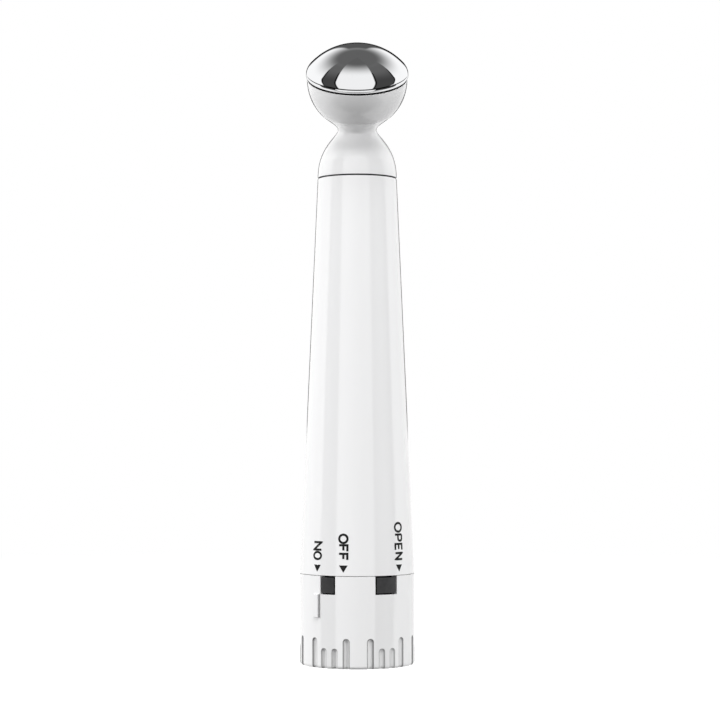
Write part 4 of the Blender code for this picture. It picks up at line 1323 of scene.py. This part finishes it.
    def dress(self) -> None:
        """Print the three positions: first the words, then the arrows."""
        for make in (self.word, self.arrow):
            for word in WORDS:
                finished(make(word), Body.HANDLE, INK)


def dress_plain_nodes() -> None:
    """Give every node that keeps its CAD shape its procedural finish."""
    for node, finish in PLAIN_NODES.items():
        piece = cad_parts[node]
        piece.data.materials.clear()
        piece.data.materials.append(finish.material())
        LOG.info("%s: finish %s", node, finish.slot)


# Studio


@dataclass
class Studio:
    """White floor and backdrop, soft lamps, and the cards that the gloss mirrors."""

    floor_half: float = 3.0
    floor_glow: float = 0.74
    white_from: tuple = (0.12, 0.4)
    world_light: float = 0.25
    lamp_side: float = 0.71
    aim: tuple = (0.0, 0.0, 0.065)
    lamps: tuple = (
        ("left_lamp", (-1.275, -0.225, 0.173), 17.0), ("right_lamp", (1.061, -0.743, 0.173), 12.0),
        ("top_lamp", (0.0, -0.64, 1.18), 12.0), ("back_lamp_left", (-0.65, 1.0, 0.6), 6.0),
        ("back_lamp_right", (0.65, 1.0, 0.6), 6.0),
    )
    card_radius: float = 1.6
    gaps: tuple = ((-80.5, -43.5), (36.5, 88.0))
    table_tone: float = 0.35
    table_slope: float = 0.5
    camera_place: tuple = (0.00058, -0.4393, 0.0482)
    camera_pitch: float = 91.874
    lens: float = 106.1

    def card_tone(self, alpha: np.ndarray, beta: np.ndarray) -> np.ndarray:
        """Brightness of the mirrored surroundings by azimuth and elevation in degrees.

        A front panel stands between two dark gaps with black edges, light walls stand at the
        sides, a dark ceiling closes the top, and a black cloth hangs behind.  Panel and walls
        fade upwards into the ceiling.  A light table begins below them at a straight dark edge:
        the tangent of its elevation falls with the cosine of the azimuth.

        Args:
            alpha: Azimuths from the front.
            beta: Elevations.

        Returns:
            Emission strengths.
        """
        wall = 0.13 + 0.95 * fade(beta, 38.0, 70.0)
        panel = 0.12 + 0.88 * fade(beta, 48.0, 74.0)
        tone = mix(wall, panel, smooth_step(alpha, -44.5, -42.0) * fade(alpha, 35.0, 37.5))
        for left, right in self.gaps:
            inside = smooth_step(alpha, left - 1.5, left + 1.0) * fade(alpha, right - 1.0, right + 1.0)
            border = np.minimum(alpha - left, right - alpha)
            dark = 0.06 + 0.07 * smooth_step(beta, 38.0, 56.0)
            dark = dark * smooth_step(border + 12.0 * smooth_step(beta, 50.0, 62.0), 2.5, 5.0)
            tone = mix(tone, dark, inside * fade(beta, 62.0, 74.0))
        cloth = smooth_step(np.abs(alpha) - 8.0 * smooth_step(beta, 28.0, 38.0), 155.0, 161.0)
        cloth = cloth * fade(beta, 56.0, 66.0) * smooth_step(beta, -16.0, -8.0)
        tone = mix(tone, 0.1 * smooth_step(beta, 26.0, 36.0), cloth)
        front = np.cos(np.radians(alpha))
        edge = np.degrees(np.arctan(-self.table_slope * np.maximum(front, 0.0)))
        line = fade(np.abs(beta - edge), 0.8, 2.2) * smooth_step(front, 0.1, 0.2)
        tone = mix(tone, 1.0, smooth_step(edge - beta, -0.4, 0.4) * (beta < 0)) * (1 - line)
        table = self.table_tone + (1 - self.table_tone) * smooth_step(-front, -0.3, 0.3)
        return mix(tone, table, smooth_step(-beta, 34.0, 44.0))

    @staticmethod
    def bare_material(piece: Piece) -> Tree:
        """Give a stage piece an empty material that is no lamp.

        Args:
            piece: The stage piece.

        Returns:
            The material's node tree, with only its output node.
        """
        material = bpy.data.materials.new(piece.name)
        material.use_nodes = True
        material.cycles.emission_sampling = "NONE"
        material.node_tree.nodes.remove(material.node_tree.nodes["Principled BSDF"])
        piece.data.materials.append(material)
        return material.node_tree

    def cards(self) -> Piece:
        """Build the ring of cards: a sphere that only mirrored rays can see.

        Returns:
            The new piece.
        """
        elevation = np.radians(np.linspace(-90.0, 90.0, 361))
        outline = self.card_radius * np.stack((np.cos(elevation), np.sin(elevation)), axis=-1)
        outline[(0, -1), 0] = 0.0
        shell = ring_piece("studio_cards", turn(outline, even_azimuths(720)), closed=False)
        x, y, z = read_rows(shell.data.vertices, "co").T
        beta = np.degrees(np.arcsin(np.clip(z / self.card_radius, -1.0, 1.0)))
        mark_points(shell, "tone", self.card_tone(np.degrees(np.arctan2(x, -y)), beta))
        tree = self.bare_material(shell)
        tone = add_node(tree, "Attribute", {}, attribute_name="tone").outputs["Fac"]
        glow = add_node(tree, "Emission", {"Strength": tone})
        feed(tree, tree.nodes["Material Output"], {"Surface": glow.outputs["Emission"]})
        shell.visible_camera = False
        shell.visible_diffuse = False
        shell.visible_shadow = False
        shell.location = (0.0, 0.0, 0.07)
        return shell

    @staticmethod
    def chosen(tree: Tree, unseen: Socket, seen: Socket) -> Socket:
        """Show one surface to camera, mirrored and see-through rays and another to the rest.

        Args:
            tree: Node tree of the material or world.
            unseen: Surface that only lights the object.
            seen: Surface that is seen.

        Returns:
            Socket of the mixture.
        """
        rays = tree.nodes.new("ShaderNodeLightPath").outputs
        mask = computed(tree, "ADD", rays["Is Camera Ray"], rays["Is Glossy Ray"], clamp=True)
        mask = computed(tree, "ADD", mask, rays["Is Transmission Ray"], clamp=True)
        return add_node(tree, "MixShader", {"Fac": mask, 1: unseen, 2: seen}).outputs["Shader"]

    def floor(self) -> Piece:
        """Build the floor: it reads as white paper but sends little light back up.

        Returns:
            The new piece.
        """
        half = self.floor_half
        mesh = bpy.data.meshes.new("studio_floor")
        mesh.from_pydata([(-half, -half, 0.0), (half, -half, 0.0), (half, half, 0.0), (-half, half, 0.0)],
                         [], [(0, 1, 2, 3)])
        plane = into_scene("studio_floor", mesh)
        plane.visible_glossy = False
        tree = self.bare_material(plane)
        shaded = add_node(tree, "BsdfDiffuse", {"Color": (0.4, 0.4, 0.4, 1.0)})
        glow = add_node(tree, "Emission", {"Strength": self.floor_glow})
        near = add_node(tree, "AddShader", {0: shaded.outputs["BSDF"], 1: glow.outputs["Emission"]})
        reach = add_node(tree, "VectorMath", {0: object_point(tree)}, operation="LENGTH")
        far = spread(tree, reach.outputs["Value"], *self.white_from)
        white = add_node(tree, "Emission", {})
        seen = {"Fac": far, 1: near.outputs["Shader"], 2: white.outputs["Emission"]}
        paper = add_node(tree, "MixShader", seen)
        dull = add_node(tree, "BsdfDiffuse", {"Color": (0.16, 0.16, 0.16, 1.0)})
        surface = self.chosen(tree, dull.outputs["BSDF"], paper.outputs["Shader"])
        feed(tree, tree.nodes["Material Output"], {"Surface": surface})
        return plane

    def lamp(self, name: str, place: tuple, power: float) -> None:
        """Hang a soft square lamp that faces the middle of the pen.

        Args:
            name: Name of the lamp.
            place: Where it hangs.
            power: Power in watts.
        """
        light = bpy.data.lights.new(name, "AREA")
        light.size = self.lamp_side
        light.energy = power
        lamp = into_scene(name, light)
        lamp.location = place
        aim = np.array(self.aim) - np.array(place)
        aim /= np.linalg.norm(aim)
        lamp.rotation_euler = (math.acos(-aim[2]), 0.0, math.atan2(-aim[0], aim[1]))
        lamp.visible_glossy = False

    def world(self) -> None:
        """Set a white backdrop over a dimmer soft surrounding light."""
        world = bpy.data.worlds.new("studio_world")
        world.use_nodes = True
        tree = world.node_tree
        dim = tree.nodes["Background"]
        feed(tree, dim, {"Color": (1.0, 1.0, 1.0, 1.0), "Strength": self.world_light})
        white = add_node(tree, "Background", {"Color": (1.0, 1.0, 1.0, 1.0)})
        surface = self.chosen(tree, dim.outputs["Background"], white.outputs["Background"])
        feed(tree, tree.nodes["World Output"], {"Surface": surface})
        bpy.context.scene.world = world

    def camera(self) -> None:
        """Set the camera low in front of the pen, tipped up a little."""
        data = bpy.data.cameras.new("studio_camera")
        data.sensor_width = 36.0
        data.lens = self.lens
        data.clip_start = 0.01
        camera = into_scene("studio_camera", data)
        camera.location = self.camera_place
        camera.rotation_euler = (math.radians(self.camera_pitch), 0.0, 0.0)
        bpy.context.scene.camera = camera

    def build(self) -> None:
        """Put up the whole studio."""
        self.cards()
        self.floor()
        for lamp in self.lamps:
            self.lamp(*lamp)
        self.world()
        self.camera()
        bpy.context.scene.view_settings.view_transform = "Standard"


def main() -> None:
    """Build the pen and the studio."""
    logging.basicConfig(level=logging.INFO)
    handle = Handle()
    Studio().build()
    for assembly in (handle, Head(), TwistCap(), SwitchRing(), PowerCell(), Marks(handle)):
        assembly.dress()
    dress_plain_nodes()


if __name__ == "__main__":
    main()
